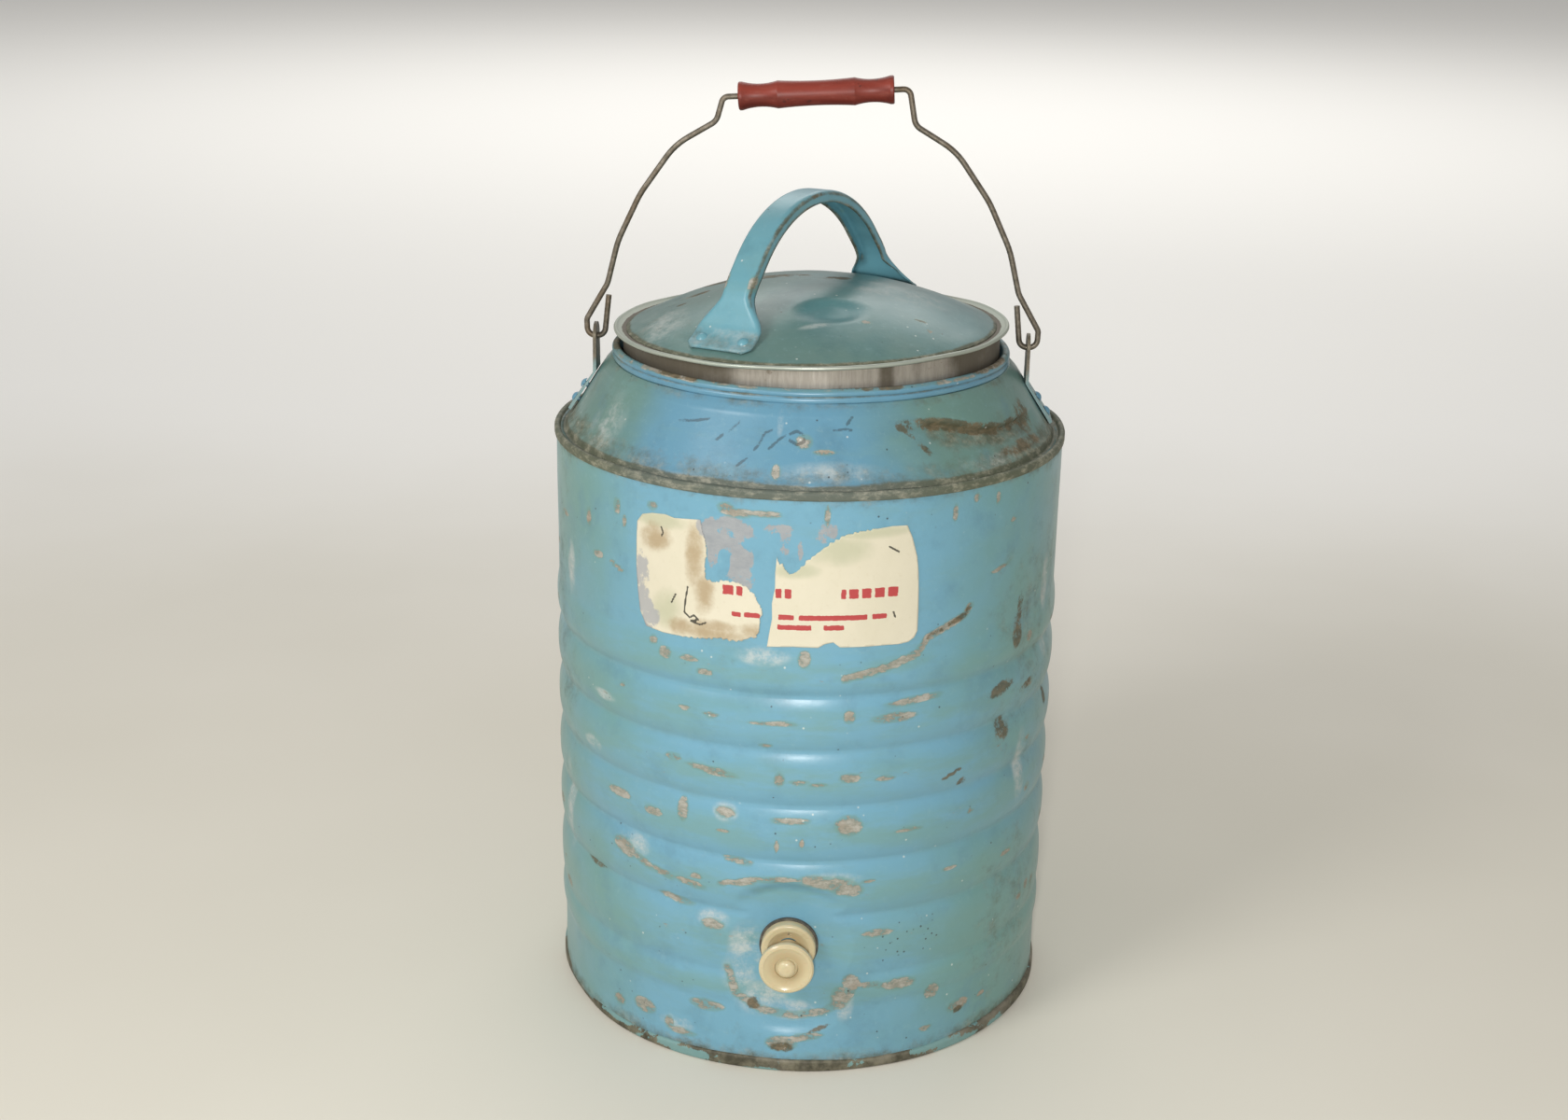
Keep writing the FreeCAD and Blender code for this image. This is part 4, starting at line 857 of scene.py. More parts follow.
def make_shoulder():
    ring_in = SEAM_R - SEAM_WIDE
    floor = SEAM_LOW_Z + 2.5
    steps = [
        (SHOULDER_FOOT[0] + 0.6, floor - 0.6), (ring_in + 0.4, floor - 0.6),
        (ring_in + 0.4, SEAM_LOW_Z), (SEAM_R - 0.7, SEAM_LOW_Z),
        (SEAM_R - 0.2, SEAM_LOW_Z + 0.3, SEAM_R, SEAM_LOW_Z + 0.9), (SEAM_R, SEAM_TOP_Z - 1.5),
        (SEAM_R - SEAM_WIDE / 2, SEAM_TOP_Z, ring_in, SEAM_TOP_Z - 1.6), (ring_in - 0.3, floor + 0.3),
        (SHOULDER_FOOT[0] + 1.4, floor + 0.2), SHOULDER_FOOT, SHOULDER_BEND,
        (NECK_R - 0.2, NECK_LOW_Z), (NECK_R - 1.2, NECK_LOW_Z),
        (SHOULDER_BEND[0] - 0.8, SHOULDER_BEND[1] - 0.5), (SHOULDER_FOOT[0] - 0.8, SHOULDER_FOOT[1] - 0.5)]

    def shift(p, r, z):
        a = np.radians(p)
        on_cone = smooth(z, 340.0, 343.0) * (1 - smooth(z, 370.0, 375.0))
        on_seam = smooth(r, 138.5, 141.5)
        cone = -0.5 * (ripple(a * 4, z / 14, 4) + 1) * on_cone - shoulder_dent(p, z) * on_cone
        seam = 0.35 * ripple(a * 5, a * 0, 7) - 0.35
        lift = 0.45 * ripple(a * 7, a * 0, 9) * smooth(z, 335.5, 338.5)
        return cone + seam * on_seam, lift * on_seam + 0.5 * cone

    def dirt(p, r, z):
        # Dark trough and seam ring at the joint, with the ring darker on its lower half. Darker low on the
        # shoulder and towards the sides, a band under the neck, and painted shade in the pushed-in part of
        # the dent.
        trough = 1 - smooth(z, 338.6, 342.6 + 1.5 * ripple(np.radians(p) * 8, p * 0, 3))
        haze = 0.42 * (1 - smooth(z, 343.0, 354.0)) + 0.18 * smooth(np.abs(p + 4), 30, 70)
        trough = np.maximum(trough, haze)
        seam = 0.95 * smooth(r, 140.0, 142.0) * (0.72 + 0.28 * smooth(z, 338.4, 336.0))
        under_neck = 0.35 * smooth(z, 371.0, 376.0)
        dent = 0.60 * smooth(shoulder_dent(p, z), 0.6, 3.0)
        return np.clip(np.maximum(np.maximum(trough, seam), np.maximum(under_neck, dent)), 0, 1)

    def ink(p, r, z):
        slope = 1.2
        u = arc_length(p, CONE_R)
        total = 0 * p
        for line in SHOULDER_INK:
            points = [(a, b * slope) for a, b in on_wall(line, CONE_R)]
            total = np.maximum(total, strokes(u, z * slope, points, 0.75))
        return total

    def rust(p, r, z):
        u = arc_length(p, CONE_R)
        # The dark strokes along the crease and its fork are rust and painted shade of the fold. The patch at
        # the right is rust.
        crease_rust_and_shade = strokes(u, z, on_wall(CREASE, CONE_R), 2.6) * 0.88
        fork_rust_and_shade = strokes(u, z, on_wall(CREASE_FORK, CONE_R), 1.6) * 0.72
        patch = spots(u, z, on_wall([(70, 356.0, 9.0, 8.0), (62, 345.0, 22.0, 3.0)], CONE_R))
        return np.maximum(np.maximum(crease_rust_and_shade, fork_rust_and_shade), patch * 0.8)

    def pale(p, r, z):
        marks = [(-5, 368.0, 2.0, 6.0), (7, 346.0, 24.0, 5.0), (-56, 352.0, 16.0, 16.0),
                 (50, 343.0, 26.0, 3.6)]
        return spots(arc_length(p, CONE_R), z, on_wall(marks, CONE_R)) * 0.66

    def chips(p, r, z):
        marks = [(1.0, 360.0, 4.0, 3.0), (5.7, 355.2, 5.0, 1.2), (-5.0, 346.0, 2.0, 3.0)]
        return spots(arc_length(p, CONE_R), z, on_wall(marks, CONE_R)) * 0.8

    marks = {"dirt": dirt, "ink": ink, "rust": rust, "pale": pale, "chips": chips,
             # Faded paint towards the sides, which also paints in shade away from the front.
             "fade": lambda p, r, z: smooth(np.abs(p + 6), 12, 55) * 0.9,
             "crest": no_mark}
    ring = turned_ring("shoulder", steps, angles(0.8, 0.5, 80.0), 0.8, shift, marks)
    return dress(ring, "shoulder", "root", "paint", "shoulder_cone")


def make_neck():
    middle = NECK_LOW_Z + 3.3
    steps = [
        (LINER_R, NECK_LOW_Z), (NECK_R - 0.5, NECK_LOW_Z),
        (NECK_R - 0.05, NECK_LOW_Z + 1.6, NECK_R - 1.0, middle),
        (NECK_R, (middle + NECK_TOP_Z) / 2, NECK_R - 1.0, NECK_TOP_Z - 0.7),
        ((NECK_R + LINER_R) / 2, NECK_TOP_Z, LINER_R, NECK_TOP_Z - 0.9)]

    def shift(p, r, z):
        a = np.radians(p)
        return -0.2 * (ripple(a * 5, z / 6, 6) + 1), 0.25 * ripple(a * 6, z / 9, 2)

    def chips(p, r, z):
        top = smooth(z, 381.5, 383.6)
        patches = smooth(ripple(np.radians(p) * 14, z / 2, 5), 0.05, 0.7)
        return np.clip(top * 0.3 + top * patches * 0.8, 0, 1)

    def rust(p, r, z):
        top = smooth(z, 382.0, 383.8)
        return np.clip(top * smooth(ripple(np.radians(p) * 17, z / 3, 9), -0.2, 0.6) * 0.9, 0, 1)

    def dirt(p, r, z):
        return 0.55 * np.exp(-((z - middle) / 0.7) ** 2) + 0.25 * (z < NECK_LOW_Z + 0.6)

    marks = {"chips": chips, "rust": rust, "crest": no_mark, "dirt": dirt,
             # Faded paint towards the sides, which also paints in shade away from the front.
             "fade": lambda p, r, z: smooth(np.abs(p), 40, 80) * 0.4}
    ring = turned_ring("neck_bead", steps, angles(0.6), 0.45, shift, marks)
    return dress(ring, "shoulder", "root", "paint", "neck_rim")


# ---------------------------------------------------------------- lid
def dome_z(r):
    return BRIM_Z + DOME_HIGH * (1 - (np.minimum(r, DOME_R) / DOME_R) ** DOME_POWER)


DOME_DENT = (13.0, -53.0, 22.0, 15.0, 12.0)     # x, y, half length, half width, turn


def dome_dent(x, y):
    cx, cy, long, wide, turn = DOME_DENT
    a = math.radians(turn)
    du, dv = x - cx, y - cy
    u = (du * math.cos(a) + dv * math.sin(a)) / long
    v = (dv * math.cos(a) - du * math.sin(a)) / wide
    return 1 - smooth(np.hypot(u, v), 0.35, 1.1)


def make_dome():
    radii = np.concatenate([np.linspace(0.0, 101.0, 68), np.linspace(101.8, DOME_R, 6)])
    phi = angles(1.0)
    top = dome_z(radii)
    edge = np.array([[DOME_R + 0.25, BRIM_Z - 0.25], [DOME_R, BRIM_Z - 0.7]])
    under_r = radii[::-1][::3]
    under_r = np.append(under_r[1:], 0.0) if under_r[-1] else under_r[1:]
    profile_r = np.concatenate([radii, edge[:, 0], under_r])
    profile_z = np.concatenate([top, edge[:, 1], dome_z(under_r) - 0.9])
    p, r = np.meshgrid(phi, profile_r)
    z = np.repeat(profile_z[:, None], len(phi), 1)
    a = np.radians(p)
    x, y = r * np.sin(a), -r * np.cos(a)
    z = z - 1.7 * dome_dent(x, y)
    z = z - 0.5 * (ripple(x / 22, y / 22, 4) + 1) * (1 - smooth(r, 92, 103))
    z = z - 1.2 * np.exp(-((x + 60) / 24) ** 2 - ((y - 5) / 20) ** 2)
    grid = tilt_lid(round_points(p, r, z))
    dust = np.clip(0.9 * spots(x, y, [(-88, -22, 34, 40), (-60, 14, 34, 30), (-6, 20, 46, 30),
                                      (58, 30, 40, 26), (0, 70, 90, 40)]), 0, 1)
    marks = {
        # More faded away from the front right. Less fade in the dent paints it darker, as painted shade.
        "fade": 0.3 + 0.4 * smooth(np.hypot(x - 40, y + 20), 40, 90) - 0.5 * dome_dent(x, y),
        # The first pale mark, along the lower edge of the dent, is a painted highlight. The other two and the
        # dust are pale wear.
        "pale": np.maximum(spots(x, y, [(6, -71, 10, 2.6, 18), (-80, -40, 16, 24), (50, -10, 30, 20)]) * 0.7,
                           dust * 0.40),
        "chips": spots(x, y, [(61, -48, 3, 1.5), (32, -63, 2.5, 1.2), (-65, 2, 6, 3), (66, -57, 1.5, 1)]),
        "rust": spots(x, y, [(-65, 1.5, 8, 3, 20), (-72, -14, 3, 2), (-20, 12, 18, 5), (16, 6, 7, 4),
                             (-48, 28, 16, 8)]) * 0.85,
        # The dark ring at the dome's edge is painted shadow in the gap at the brim. The dust adds a little
        # real dirt.
        "dirt": np.clip(0.95 * smooth(r, 101.0, 103.8) + 0.25 * dust, 0, 1),
        "crest": 0 * r,
    }
    return dress(pole_grid("lid_top", grid, marks), "dome", "lid", "paint", "lid_dome")


def make_skirt():
    """Brim and plug band in one turned sheet, drawn level and then tilted."""
    flange = BRIM_Z - 1.4
    steps = [
        (SKIRT_R - SHEET, SKIRT_LOW_Z), (SKIRT_R, SKIRT_LOW_Z), (SKIRT_R, flange - 1.2),
        (SKIRT_R + 0.35, flange - 0.35, SKIRT_R + 1.3, flange),
        (BRIM_R - 1.4, flange + 0.5), (BRIM_R + 0.0, flange + 1.6, BRIM_R - 1.4, flange + 2.7),
        (BRIM_R - 2.3, flange + 2.0), (SKIRT_R - 0.6, flange + 0.9), (DOME_R - 3.0, flange + 0.7),
        (DOME_R - 3.0, flange), (SKIRT_R - SHEET, flange)]

    def shift(p, r, z):
        a = np.radians(p)
        brim = smooth(r, SKIRT_R + 0.5, BRIM_R - 1.5)
        return -0.3 * (ripple(a * 4, a * 0, 3) + 1) * brim, 0.45 * ripple(a * 5, a * 0, 6) * brim

    # Dark mark on the band: painted shade towards its left and right sides, two stain drips, and a light
    # stain all round.
    def stain(p, r, z):
        left = smooth(-p, 13, 25)
        right = smooth(p, 40, 54)
        drip = np.exp(-((p - 24) / 3.2) ** 2) + 0.5 * np.exp(-((p - 34) / 3.0) ** 2)
        return np.clip(0.9 * np.maximum(left, right) + drip + 0.15, 0, 1)

    def painted(p, r, z):
        return smooth(z, flange - 0.4, flange + 0.6) * smooth(r, SKIRT_R - 0.4, SKIRT_R + 1.2)

    ring = turned_ring("lid_brim_band", steps, angles(0.6), 0.6, shift,
                       {"stain": stain, "painted": painted}, tilt=True)
    return dress(ring, "band", "lid", "galvanised", "lid_skirt")


# ---------------------------------------------------------------- lid handle
def foot_line(side):
    """Height and slope of the dome under this foot's rivets."""
    middle = FOOT_RIVET_S + side * HANDLE_SHIFT
    slope = -DOME_HIGH * DOME_POWER / DOME_R * (middle / DOME_R) ** (DOME_POWER - 1)
    return float(dome_z(np.array(middle))), slope


def handle_path(side):
    """Centre line of one half, crown to toe, as points (s, z)."""
    foot_z, slope = foot_line(side)
    top_gap = 1.4
    crown_r, crown_z = 82.0, 388.0
    lean = np.linspace(0.0, math.asin(66.0 / crown_r), 30)
    arch = np.stack([crown_r * np.sin(lean), crown_z + crown_r * np.cos(lean)], -1)
    leg = np.array([(70.4, 432.6), (74.0, 428.0), (76.6, 423.0), (78.3, 417.6), (79.4, 412.6)])
    foot_s = np.array([81.6, 84.4, 88.0, 91.5, 95.0])
    foot = np.stack([foot_s, foot_z + slope * (foot_s - FOOT_RIVET_S) + top_gap], -1)
    foot[0, 1] += 1.6
    rough_path = np.concatenate([arch, leg, foot])
    return resample(smooth_line(rough_path, 2), 64)


def smooth_line(points, rounds):
    for _ in range(rounds):
        middle = (points[:-2] + 2 * points[1:-1] + points[2:]) / 4
        points = np.concatenate([points[:1], middle, points[-1:]])
    return points


def resample(points, count):
    length = np.concatenate([[0], np.cumsum(np.linalg.norm(np.diff(points, axis=0), axis=1))])
    at = np.linspace(0, length[-1], count)
    return np.stack([np.interp(at, length, points[:, k]) for k in range(points.shape[1])], -1)


def handle_section(half, flange, corner, gauge):
    """Closed channel section as (across, depth inwards) points."""
    outer = []
    for k in range(8):
        w = (half - corner) * k / 8
        outer.append((w, 0.0))
    for k in range(7):
        t = math.pi / 2 * k / 6
        outer.append((half - corner + corner * math.sin(t), corner - corner * math.cos(t)))
    reach = max(flange, corner + 0.05)
    for k in range(1, 4):
        outer.append((half, corner + (reach - corner) * k / 3))
    outer = np.array(outer)
    inner_corner = max(corner - gauge, 0.05)
    inner = []
    for k in range(8):
        w = (half - gauge - inner_corner) * k / 8
        inner.append((w, gauge))
    for k in range(7):
        t = math.pi / 2 * k / 6
        inner.append((half - gauge - inner_corner + inner_corner * math.sin(t),
                      gauge + inner_corner - inner_corner * math.cos(t)))
    for k in range(1, 4):
        base = gauge + inner_corner
        inner.append((half - gauge, base + (max(reach, base + 0.02) - base) * k / 3))
    inner = np.array(inner)
    right = np.concatenate([outer, inner[::-1]])
    left = right[::-1] * [-1, 1]
    return np.concatenate([right, left[1:-1]])


def make_handle():
    halves = []
    for side in (1, -1):
        path = handle_path(side)
        steps = np.diff(path, axis=0)
        direction = np.concatenate([steps[:1], (steps[:-1] + steps[1:]) / 2, steps[-1:]])
        direction /= np.linalg.norm(direction, axis=1)[:, None]
        rows = []
        for (s, z), (ds, dz) in zip(path, direction):
            drop = np.clip((434.0 - z) / 28.0, 0, 1) if s > 60 else 0.0
            on_pad = float(smooth(np.array(s), 79.0, 84.5)) if z < 414 else 0.0
            half = 9.0 + 11.0 * float(smooth(np.array(drop), 0.30, 1.0))
            toe = float(smooth(np.array(s), 90.0, 95.0))
            half -= 4.0 * toe * toe
            flange = 6.5 * (1 - float(smooth(np.array(drop), 0.35, 0.92)))
            flange = max(flange, 1.6)
            corner = 3.0 - 1.6 * on_pad
            section = handle_section(half, flange, corner, 1.3)
            inward = np.array([dz, -ds])
            at = np.array([s, z]) + section[:, 1:] * inward
            rows.append(np.stack([side * at[:, 0], side * section[:, 0], at[:, 1],
                                  section[:, 1] / flange], -1))
        halves.append(np.array(rows))
    near, far = halves[0], halves[1][::-1]
    # both halves share the crown section, whose points run the same way round
    mirrored = far[:, ::-1]
    start = int(np.argmin(np.linalg.norm(mirrored[-1] - near[0][0], axis=1)))
    grid = np.concatenate([np.roll(mirrored, -start, axis=1)[:-1], near])
    level_s, w, z, deep = (grid[..., k] for k in range(4))
    s = level_s + HANDLE_SHIFT
    turn = math.radians(90 - HANDLE_TURN_DEG)
    x = s * math.cos(turn) - w * math.sin(turn)
    y = s * math.sin(turn) + w * math.cos(turn)
    placed = tilt_lid(np.stack([x, y, z], -1))
    across = np.abs(w)
    strap = 1 - smooth(np.abs(level_s), 74, 80)
    corner_line = smooth(across, 7.3, 8.5) * (1 - smooth(deep, 0.35, 0.55))
    lip = smooth(deep, 0.72, 0.92)
    edge = np.maximum(0.85 * corner_line, lip) * strap
    foot = smooth(np.abs(level_s), 80, 84)
    chipped = spots(level_s, z, [(-70, 430, 5, 4), (52, 452, 4, 2), (-40, 462, 3, 2)])
    marks = {
        "dirt": np.clip(0.75 * edge + 0.35 * foot, 0, 1),
        "rust": 0.55 * edge * smooth(ripple(level_s / 6, z / 6, 4), 0.0, 0.8),
        "chips": chipped * 0.7 * smooth(across, 5, 8),
        "fade": 0.3 + 0.3 * ripple(level_s / 20, z / 20, 2),
        "pale": 0.5 * foot,
        "crest": no_mark(s, w, z),
    }
    handle = loop_grid("lid_strap_handle", placed, marks, wrap_rows=False, caps=True)
    return dress(handle, "handle", "lid", "paint", "lid_handle")


# ---------------------------------------------------------------- label
LEFT_EDGE = [
    (-36.0, 312.0), (-34.6, 316.5), (-32.0, 318.4), (-28.6, 319.2), (-26.4, 318.2), (-20.4, 319.6),
    (-19.9, 313.2), (-18.9, 305.1), (-19.2, 296.6), (-18.9, 287.6), (-16.8, 286.6),
    (-15.5, 288.4), (-12.1, 287.9), (-9.9, 285.7), (-8.4, 281.8), (-7.3, 276.9),
    (-6.8, 272.7), (-7.3, 265.7), (-7.8, 258.9), (-9.3, 258.3), (-11.3, 255.9),
    (-13.3, 255.6), (-15.7, 256.3), (-20.2, 254.2), (-24.6, 253.6), (-29.3, 253.4),
    (-33.6, 254.6), (-35.3, 262.4), (-35.9, 272.6), (-36.3, 286.5), (-36.3, 300.5)]
RIGHT_EDGE = [
    (-3.9, 303.9), (-3.3, 299.4), (-2.8, 300.3), (-1.4, 294.4), (0.1, 295.9), (2.6, 302.8),
    (5.1, 307.9), (7.2, 312.1), (10.0, 316.0), (13.2, 317.8), (16.5, 318.7), (19.7, 319.6),
    (23.0, 319.4), (24.3, 312.2), (25.5, 301.6), (25.9, 293.0), (26.1, 282.6), (26.2, 272.2),
    (26.2, 260.5), (25.5, 257.0), (24.2, 254.9), (22.0, 254.2), (19.3, 254.4), (14.0, 254.3),
    (9.4, 254.5), (8.0, 257.4), (6.2, 256.4), (4.9, 254.4), (-0.2, 254.7), (-5.7, 254.0),
    (-5.2, 262.6), (-4.7, 269.7), (-4.8, 278.2), (-4.2, 286.9), (-4.2, 295.4)]
RAGGED_LEFT = (5, 24)       # torn runs of each outline, by point number
RAGGED_RIGHT = (0, 10)
PRINT_BARS = [
    # azimuth from, azimuth to, z of the middle, half height
    (-15.2, -12.9, 283.6, 2.6), (-12.3, -11.0, 283.6, 2.6), (-4.1, -2.8, 283.8, 2.6),
    (-2.2, -0.8, 283.8, 2.6),
    (9.4, 10.4, 284.0, 2.7), (11.0, 13.0, 284.0, 2.7), (13.7, 15.7, 284.0, 2.7), (16.4, 18.5, 284.0, 2.7),
    (19.2, 21.4, 284.0, 2.7),
    (-13.2, -11.3, 270.6, 1.3), (-10.6, -7.2, 270.9, 1.3), (-3.4, -0.2, 270.9, 1.4),
    (0.8, 15.0, 270.9, 1.4), (16.0, 19.2, 270.9, 1.4), (-3.6, 3.4, 265.4, 1.4), (5.9, 10.2, 265.4, 1.4)]
PEN_LINES = [
    [(-29.6, 312.0), (-29.1, 309.0), (-29.5, 307.0)], [(-26.0, 276.5), (-27.0, 271.5)],
    [(-23.1, 282.0), (-23.6, 275.0), (-23.9, 267.5), (-22.6, 265.0), (-21.6, 266.8),
     (-20.6, 264.6), (-22.4, 263.2), (-20.2, 262.0), (-18.9, 263.6)],
    [(19.2, 308.7), (21.4, 305.4)], [(20.6, 272.6), (21.0, 269.6)]]


def roughen(points, first, last, reach):
    """Split an outline into short steps, torn between points first and last."""
    result = []
    count = len(points)
    for k in range(count):
        a, b = np.array(points[k]), np.array(points[(k + 1) % count])
        steps = max(1, int(np.linalg.norm(b - a) / 0.7))
        across = np.array([-(b - a)[1], (b - a)[0]]) / (np.linalg.norm(b - a) + 1e-9)
        for i in range(steps):
            p = a + (b - a) * i / steps
            shake = reach * ripple(p[0] * 1.9, p[1] * 1.7, 3) if first <= k < last and i else 0.0
            result.append(p + across * shake)
    return np.array(result)


def inside_outline(points, polygon):
    x, y = points[:, 0], points[:, 1]
    found = np.zeros(len(points), bool)
    for a, b in zip(polygon, np.roll(polygon, -1, axis=0)):
        crosses = (a[1] > y) != (b[1] > y)
        with np.errstate(divide="ignore", invalid="ignore"):
            at = (b[0] - a[0]) * (y - a[1]) / (b[1] - a[1]) + a[0]
        found ^= crosses & (x < at)
    return found


def make_label_part(name, edge, torn_run):
    rim = roughen(on_wall(edge), torn_run[0], torn_run[1], 0.7)
    low, high = rim.min(0), rim.max(0)
    gx, gy = np.meshgrid(np.arange(low[0], high[0], 0.75), np.arange(low[1], high[1], 0.75))
    inner = np.stack([gx.ravel(), gy.ravel()], -1)
    inner = inner[inside_outline(inner, rim)]
    gaps = np.min(np.linalg.norm(inner[:, None] - rim[None], axis=2), axis=1)
    inner = inner[gaps > 0.45]
    points = [Vector(p) for p in np.concatenate([rim, inner])]
    edges = [(k, (k + 1) % len(rim)) for k in range(len(rim))]
    flat_verts, _, faces = delaunay_2d_cdt(points, edges, [], 1, 1e-5)[:3]
    uv = np.array([tuple(v) for v in flat_verts])
    borders = {}
    for face in faces:
        for a, b in zip(face, face[1:] + face[:1]):
            borders[(a, b)] = borders.get((a, b), 0) + 1
    border = [(a, b) for a, b in borders if (b, a) not in borders]
    count = len(uv)
    # the paper follows the waves of the sheet under it and lifts a little in places
    phi = np.degrees(uv[:, 0] / WALL_R)
    wall = wall_surface(phi, uv[:, 1])
    lift = 0.14 * (ripple(uv[:, 0] / 7.0, uv[:, 1] / 7.0, 5) + 1)
    front = round_points(phi, wall + LABEL_THICK + lift, uv[:, 1])
    back = round_points(phi, wall - 0.15, uv[:, 1])
    verts = np.concatenate([front, back])
    solid = [list(f) for f in faces] + [[i + count for i in f[::-1]] for f in faces]
    solid += [[b, a, a + count, b + count] for a, b in border]
    u, v = np.tile(uv[:, 0], 2), np.tile(uv[:, 1], 2)
    deg = np.degrees(u / WALL_R)
    bars = np.zeros(len(u))
    for a, b, z, half in PRINT_BARS:
        a_mm, b_mm = float(arc_length(a)), float(arc_length(b))
        over_u = np.maximum(a_mm - u, u - b_mm)
        over_v = np.abs(v - z) - half
        bars = np.maximum(bars, np.clip(0.5 - np.maximum(over_u, over_v) / 0.8, 0, 1))
    pen = np.zeros(len(u))
    for line in PEN_LINES:
        pen = np.maximum(pen, strokes(u, v, on_wall(line), 0.55))
    marks = {
        "print": bars,
        "pen": pen,
        "stain": np.clip(spots(deg, v, [(-24.5, 259, 4, 5), (-17, 262, 6, 4), (-18, 258, 10, 4),
                                        (-21.5, 300, 2.2, 20), (-19.5, 280, 2.5, 12),
                                        (-31, 306, 4, 8), (-9, 262, 3, 5)]) * 0.85, 0, 1),
        "damp": np.clip(spots(deg, v, [(8, 307, 9, 9, -20), (14, 317, 12, 4), (-30, 316, 8, 5),
                                       (-28, 268, 4, 12), (0, 297, 6, 5)]) * 0.9, 0, 1),
        "grey": spots(deg, v, [(-35, 280, 2.2, 16), (-33.5, 262, 3, 9), (-19.5, 316, 1.6, 5)]),
    }
    # a front facing outwards gives a larger sum than its back takes away
    if signed_volume_tri(verts, solid[:len(solid) // 2]) < 0:
        solid = [f[::-1] for f in solid]
    part = link_mesh(name, verts, solid, marks)
    return dress(part, "paper", "root", "paper", "paper_label")


# ---------------------------------------------------------------- packing behind the dents
def make_fills():
    """Packing drawn a little smaller, so that it stays behind the dented outer sheets."""
    low = BASE_PAN_TOP_Z + 0.4
    inner, outer = LINER_R + 1.0, WALL_R - 7.0
    steps = [(inner, low + 22.0), (inner, 366.0), (SHOULDER_BEND[0] - 5.5, SHOULDER_BEND[1] - 4.5),
             (SHOULDER_FOOT[0] - 5.0, SHOULDER_FOOT[1] - 4.5), (outer, 330.0), (outer, low),
             (inner, low)]
    wall = turned_ring("wall_packing", steps, angles(3.0), 6.0)
    dress(wall, "fill", "root", "insulation", "wall_insulation")
    pan_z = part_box("lid_insulation")[0].z / MM + 2.6
    radii = np.linspace(0.0, 99.0, 24)
    profile_r = np.concatenate([radii, radii[::-1]])
    profile_z = np.concatenate([dome_z(radii) - 4.2, np.full(24, pan_z)])
    p, r = np.meshgrid(angles(3.0), profile_r)
    z = np.repeat(profile_z[:, None], p.shape[1], 1)
    lid = pole_grid("lid_packing", tilt_lid(round_points(p, r, z)))
    dress(lid, "fill", "lid", "insulation", "lid_insulation")


# ---------------------------------------------------------------- return spring
def make_spring():
    """Coil round the plunger, drawn anew with a mesh of its own."""
    low, high = (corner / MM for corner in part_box("tap_return_spring"))
    wire, coil, turns = 0.42, 3.6, 4
    start, end = low.y + wire + 0.05, high.y - wire - 0.05
    steps = 40 * turns
    t = np.linspace(0, 1, steps + 1)
    a = 2 * math.pi * turns * t
    centre = np.stack([coil * np.cos(a), start + (end - start) * t, TAP_Z + coil * np.sin(a)], -1)
    outward = np.stack([np.cos(a), 0 * a, np.sin(a)], -1)
    along = np.array([0.0, 1.0, 0.0])
    turn = np.linspace(0, 2 * math.pi, 12, endpoint=False)
    grid = np.stack([centre + wire * (math.cos(k) * outward + math.sin(k) * along) for k in turn], 1)
    spring = loop_grid("return_spring", grid, wrap_rows=False, caps=True)
    dress(spring, "spring", "root", "spring_steel", "tap_return_spring")
    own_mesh(spring)


# ---------------------------------------------------------------- pieces kept from the frame
CARRIED = {
    "liner_wall": ("sheet", "galvanised"), "liner_floor": ("sheet", "galvanised"),
    "lid_pan": ("sheet", "galvanised"), "tap_sleeve": ("sheet", "galvanised"),
    "floor_insulation": ("fill", "insulation"),
    "ear_right": ("ear", "aged_steel"), "ear_left": ("ear", "aged_steel"),
    "ear_rivets": ("shoulder", "paint"), "lid_handle_rivets": ("handle", "paint"),
    "tap_body": ("plastic", "cream_plastic"), "tap_nut": ("plastic", "cream_plastic"),
    "tap_button": ("plastic", "cream_plastic"), "tap_plunger": ("plastic", "cream_plastic"),
    "tap_outer_gasket": ("rubber", "black_rubber"), "tap_inner_gasket": ("rubber", "black_rubber"),
    "tap_stopper": ("rubber", "black_rubber"),
    "bail_wire": ("wire", "aged_steel"), "bail_grip": ("wood", "red_wood"),
}


def dress_frame_nodes():
    for name, (material, slot) in CARRIED.items():
        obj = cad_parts[name]
        obj.data.materials.clear()
        obj.data.materials.append(MATERIALS[material])


# ---------------------------------------------------------------- stage, lights, camera
def make_stage():
    steps = 64
    reach, floor_z = 30.0, -0.0002
    ring = []
    for k in range(steps):
        a = 2 * math.pi * k / steps
        ring.append((reach * math.cos(a), reach * math.sin(a), floor_z))
    mesh = bpy.data.meshes.new("floor")
    mesh.from_pydata(ring, [], [list(range(steps))])
    mesh.materials.append(floor_material())
    floor = bpy.data.objects.new("floor", mesh)
    bpy.context.scene.collection.objects.link(floor)


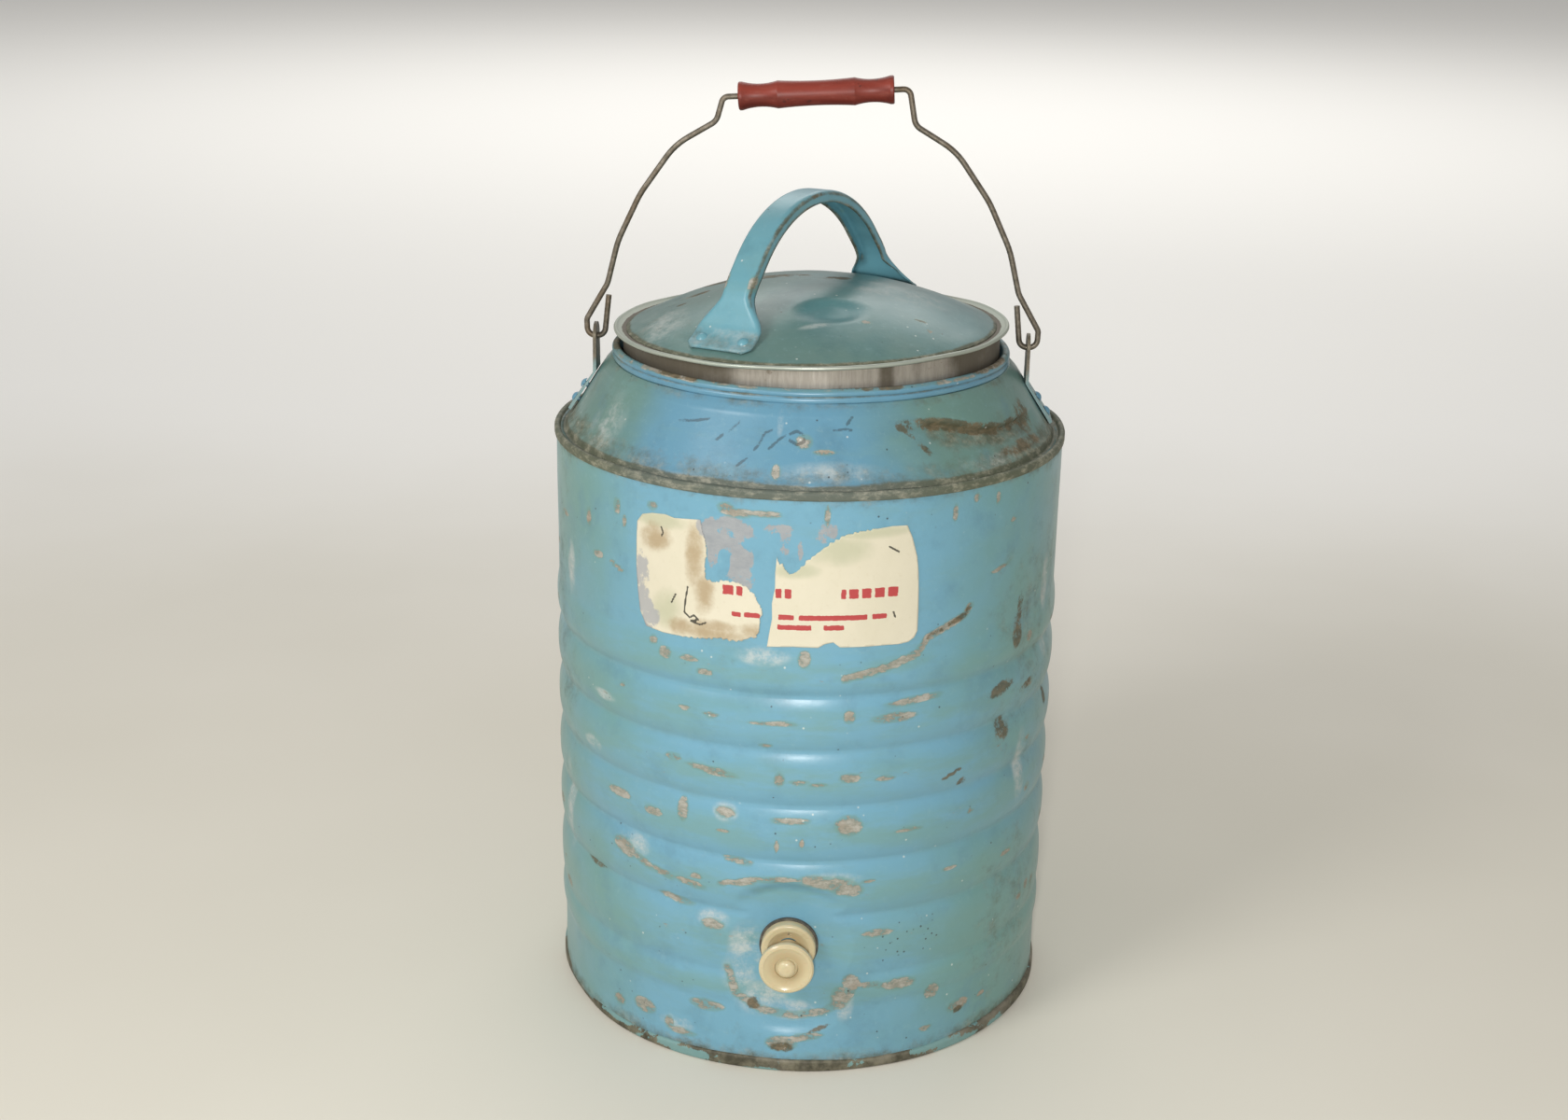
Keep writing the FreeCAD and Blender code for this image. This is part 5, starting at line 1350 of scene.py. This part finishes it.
def add_area(name, place, target, size, power, tint):
    data = bpy.data.lights.new(name, "AREA")
    data.shape = "DISK"
    data.size = size
    data.energy = power
    data.color = tint
    obj = bpy.data.objects.new(name, data)
    obj.location = place
    obj.rotation_euler = (Vector(target) - Vector(place)).to_track_quat("-Z", "Y").to_euler()
    bpy.context.scene.collection.objects.link(obj)


def make_lights():
    centre = (0.0, 0.0, 0.25)
    add_area("key", (-1.2, -1.2, 1.3), centre, 0.7, 14.5, (1.0, 0.985, 0.96))
    add_area("lamp", (0.02, -1.15, 0.60), (0.0, 0.0, 0.24), 0.07, 6.6, (1.0, 0.99, 0.97))
    add_area("fill", (1.3, -0.7, 0.9), centre, 1.2, 0.4, (1.0, 0.96, 0.90))
    add_area("back", (0.3, 1.5, 1.3), centre, 1.6, 1.6, (1.0, 0.98, 0.95))
    add_area("wash", (0.0, 4.5, 3.2), (0.0, 5.0, 0.0), 4.5, 105.0, (1.0, 0.99, 0.97))
    world = bpy.data.worlds.new("studio")
    bpy.context.scene.world = world
    world.use_nodes = True
    background = world.node_tree.nodes["Background"]
    background.inputs["Color"].default_value = (1.0, 0.985, 0.96, 1.0)
    background.inputs["Strength"].default_value = 0.43
    bpy.context.scene.view_settings.view_transform = "Standard"


def make_camera():
    forward = Vector((-0.04568, 0.94511, -0.32354)).normalized()
    right = forward.cross(Vector((0, 0, 1))).normalized()
    up = right.cross(forward)
    roll = math.radians(1.002)
    side = right * math.cos(roll) + up * math.sin(roll)
    top = up * math.cos(roll) - right * math.sin(roll)
    data = bpy.data.cameras.new("camera")
    data.lens = 46.75
    data.sensor_width = 36.0
    data.clip_start = 0.05
    camera = bpy.data.objects.new("camera", data)
    axes = Matrix((side, top, -forward)).transposed()
    camera.matrix_world = Matrix.Translation((0.0415, -1.1318, 0.6402)) @ axes.to_4x4()
    bpy.context.scene.collection.objects.link(camera)
    bpy.context.scene.camera = camera


# ---------------------------------------------------------------- build
make_barrel()
make_base()
make_shoulder()
make_neck()
make_dome()
make_skirt()
make_handle()
make_fills()
make_spring()
make_label_part("label_left", LEFT_EDGE, RAGGED_LEFT)
make_label_part("label_right", RIGHT_EDGE, RAGGED_RIGHT)
dress_frame_nodes()
make_stage()
make_lights()
make_camera()
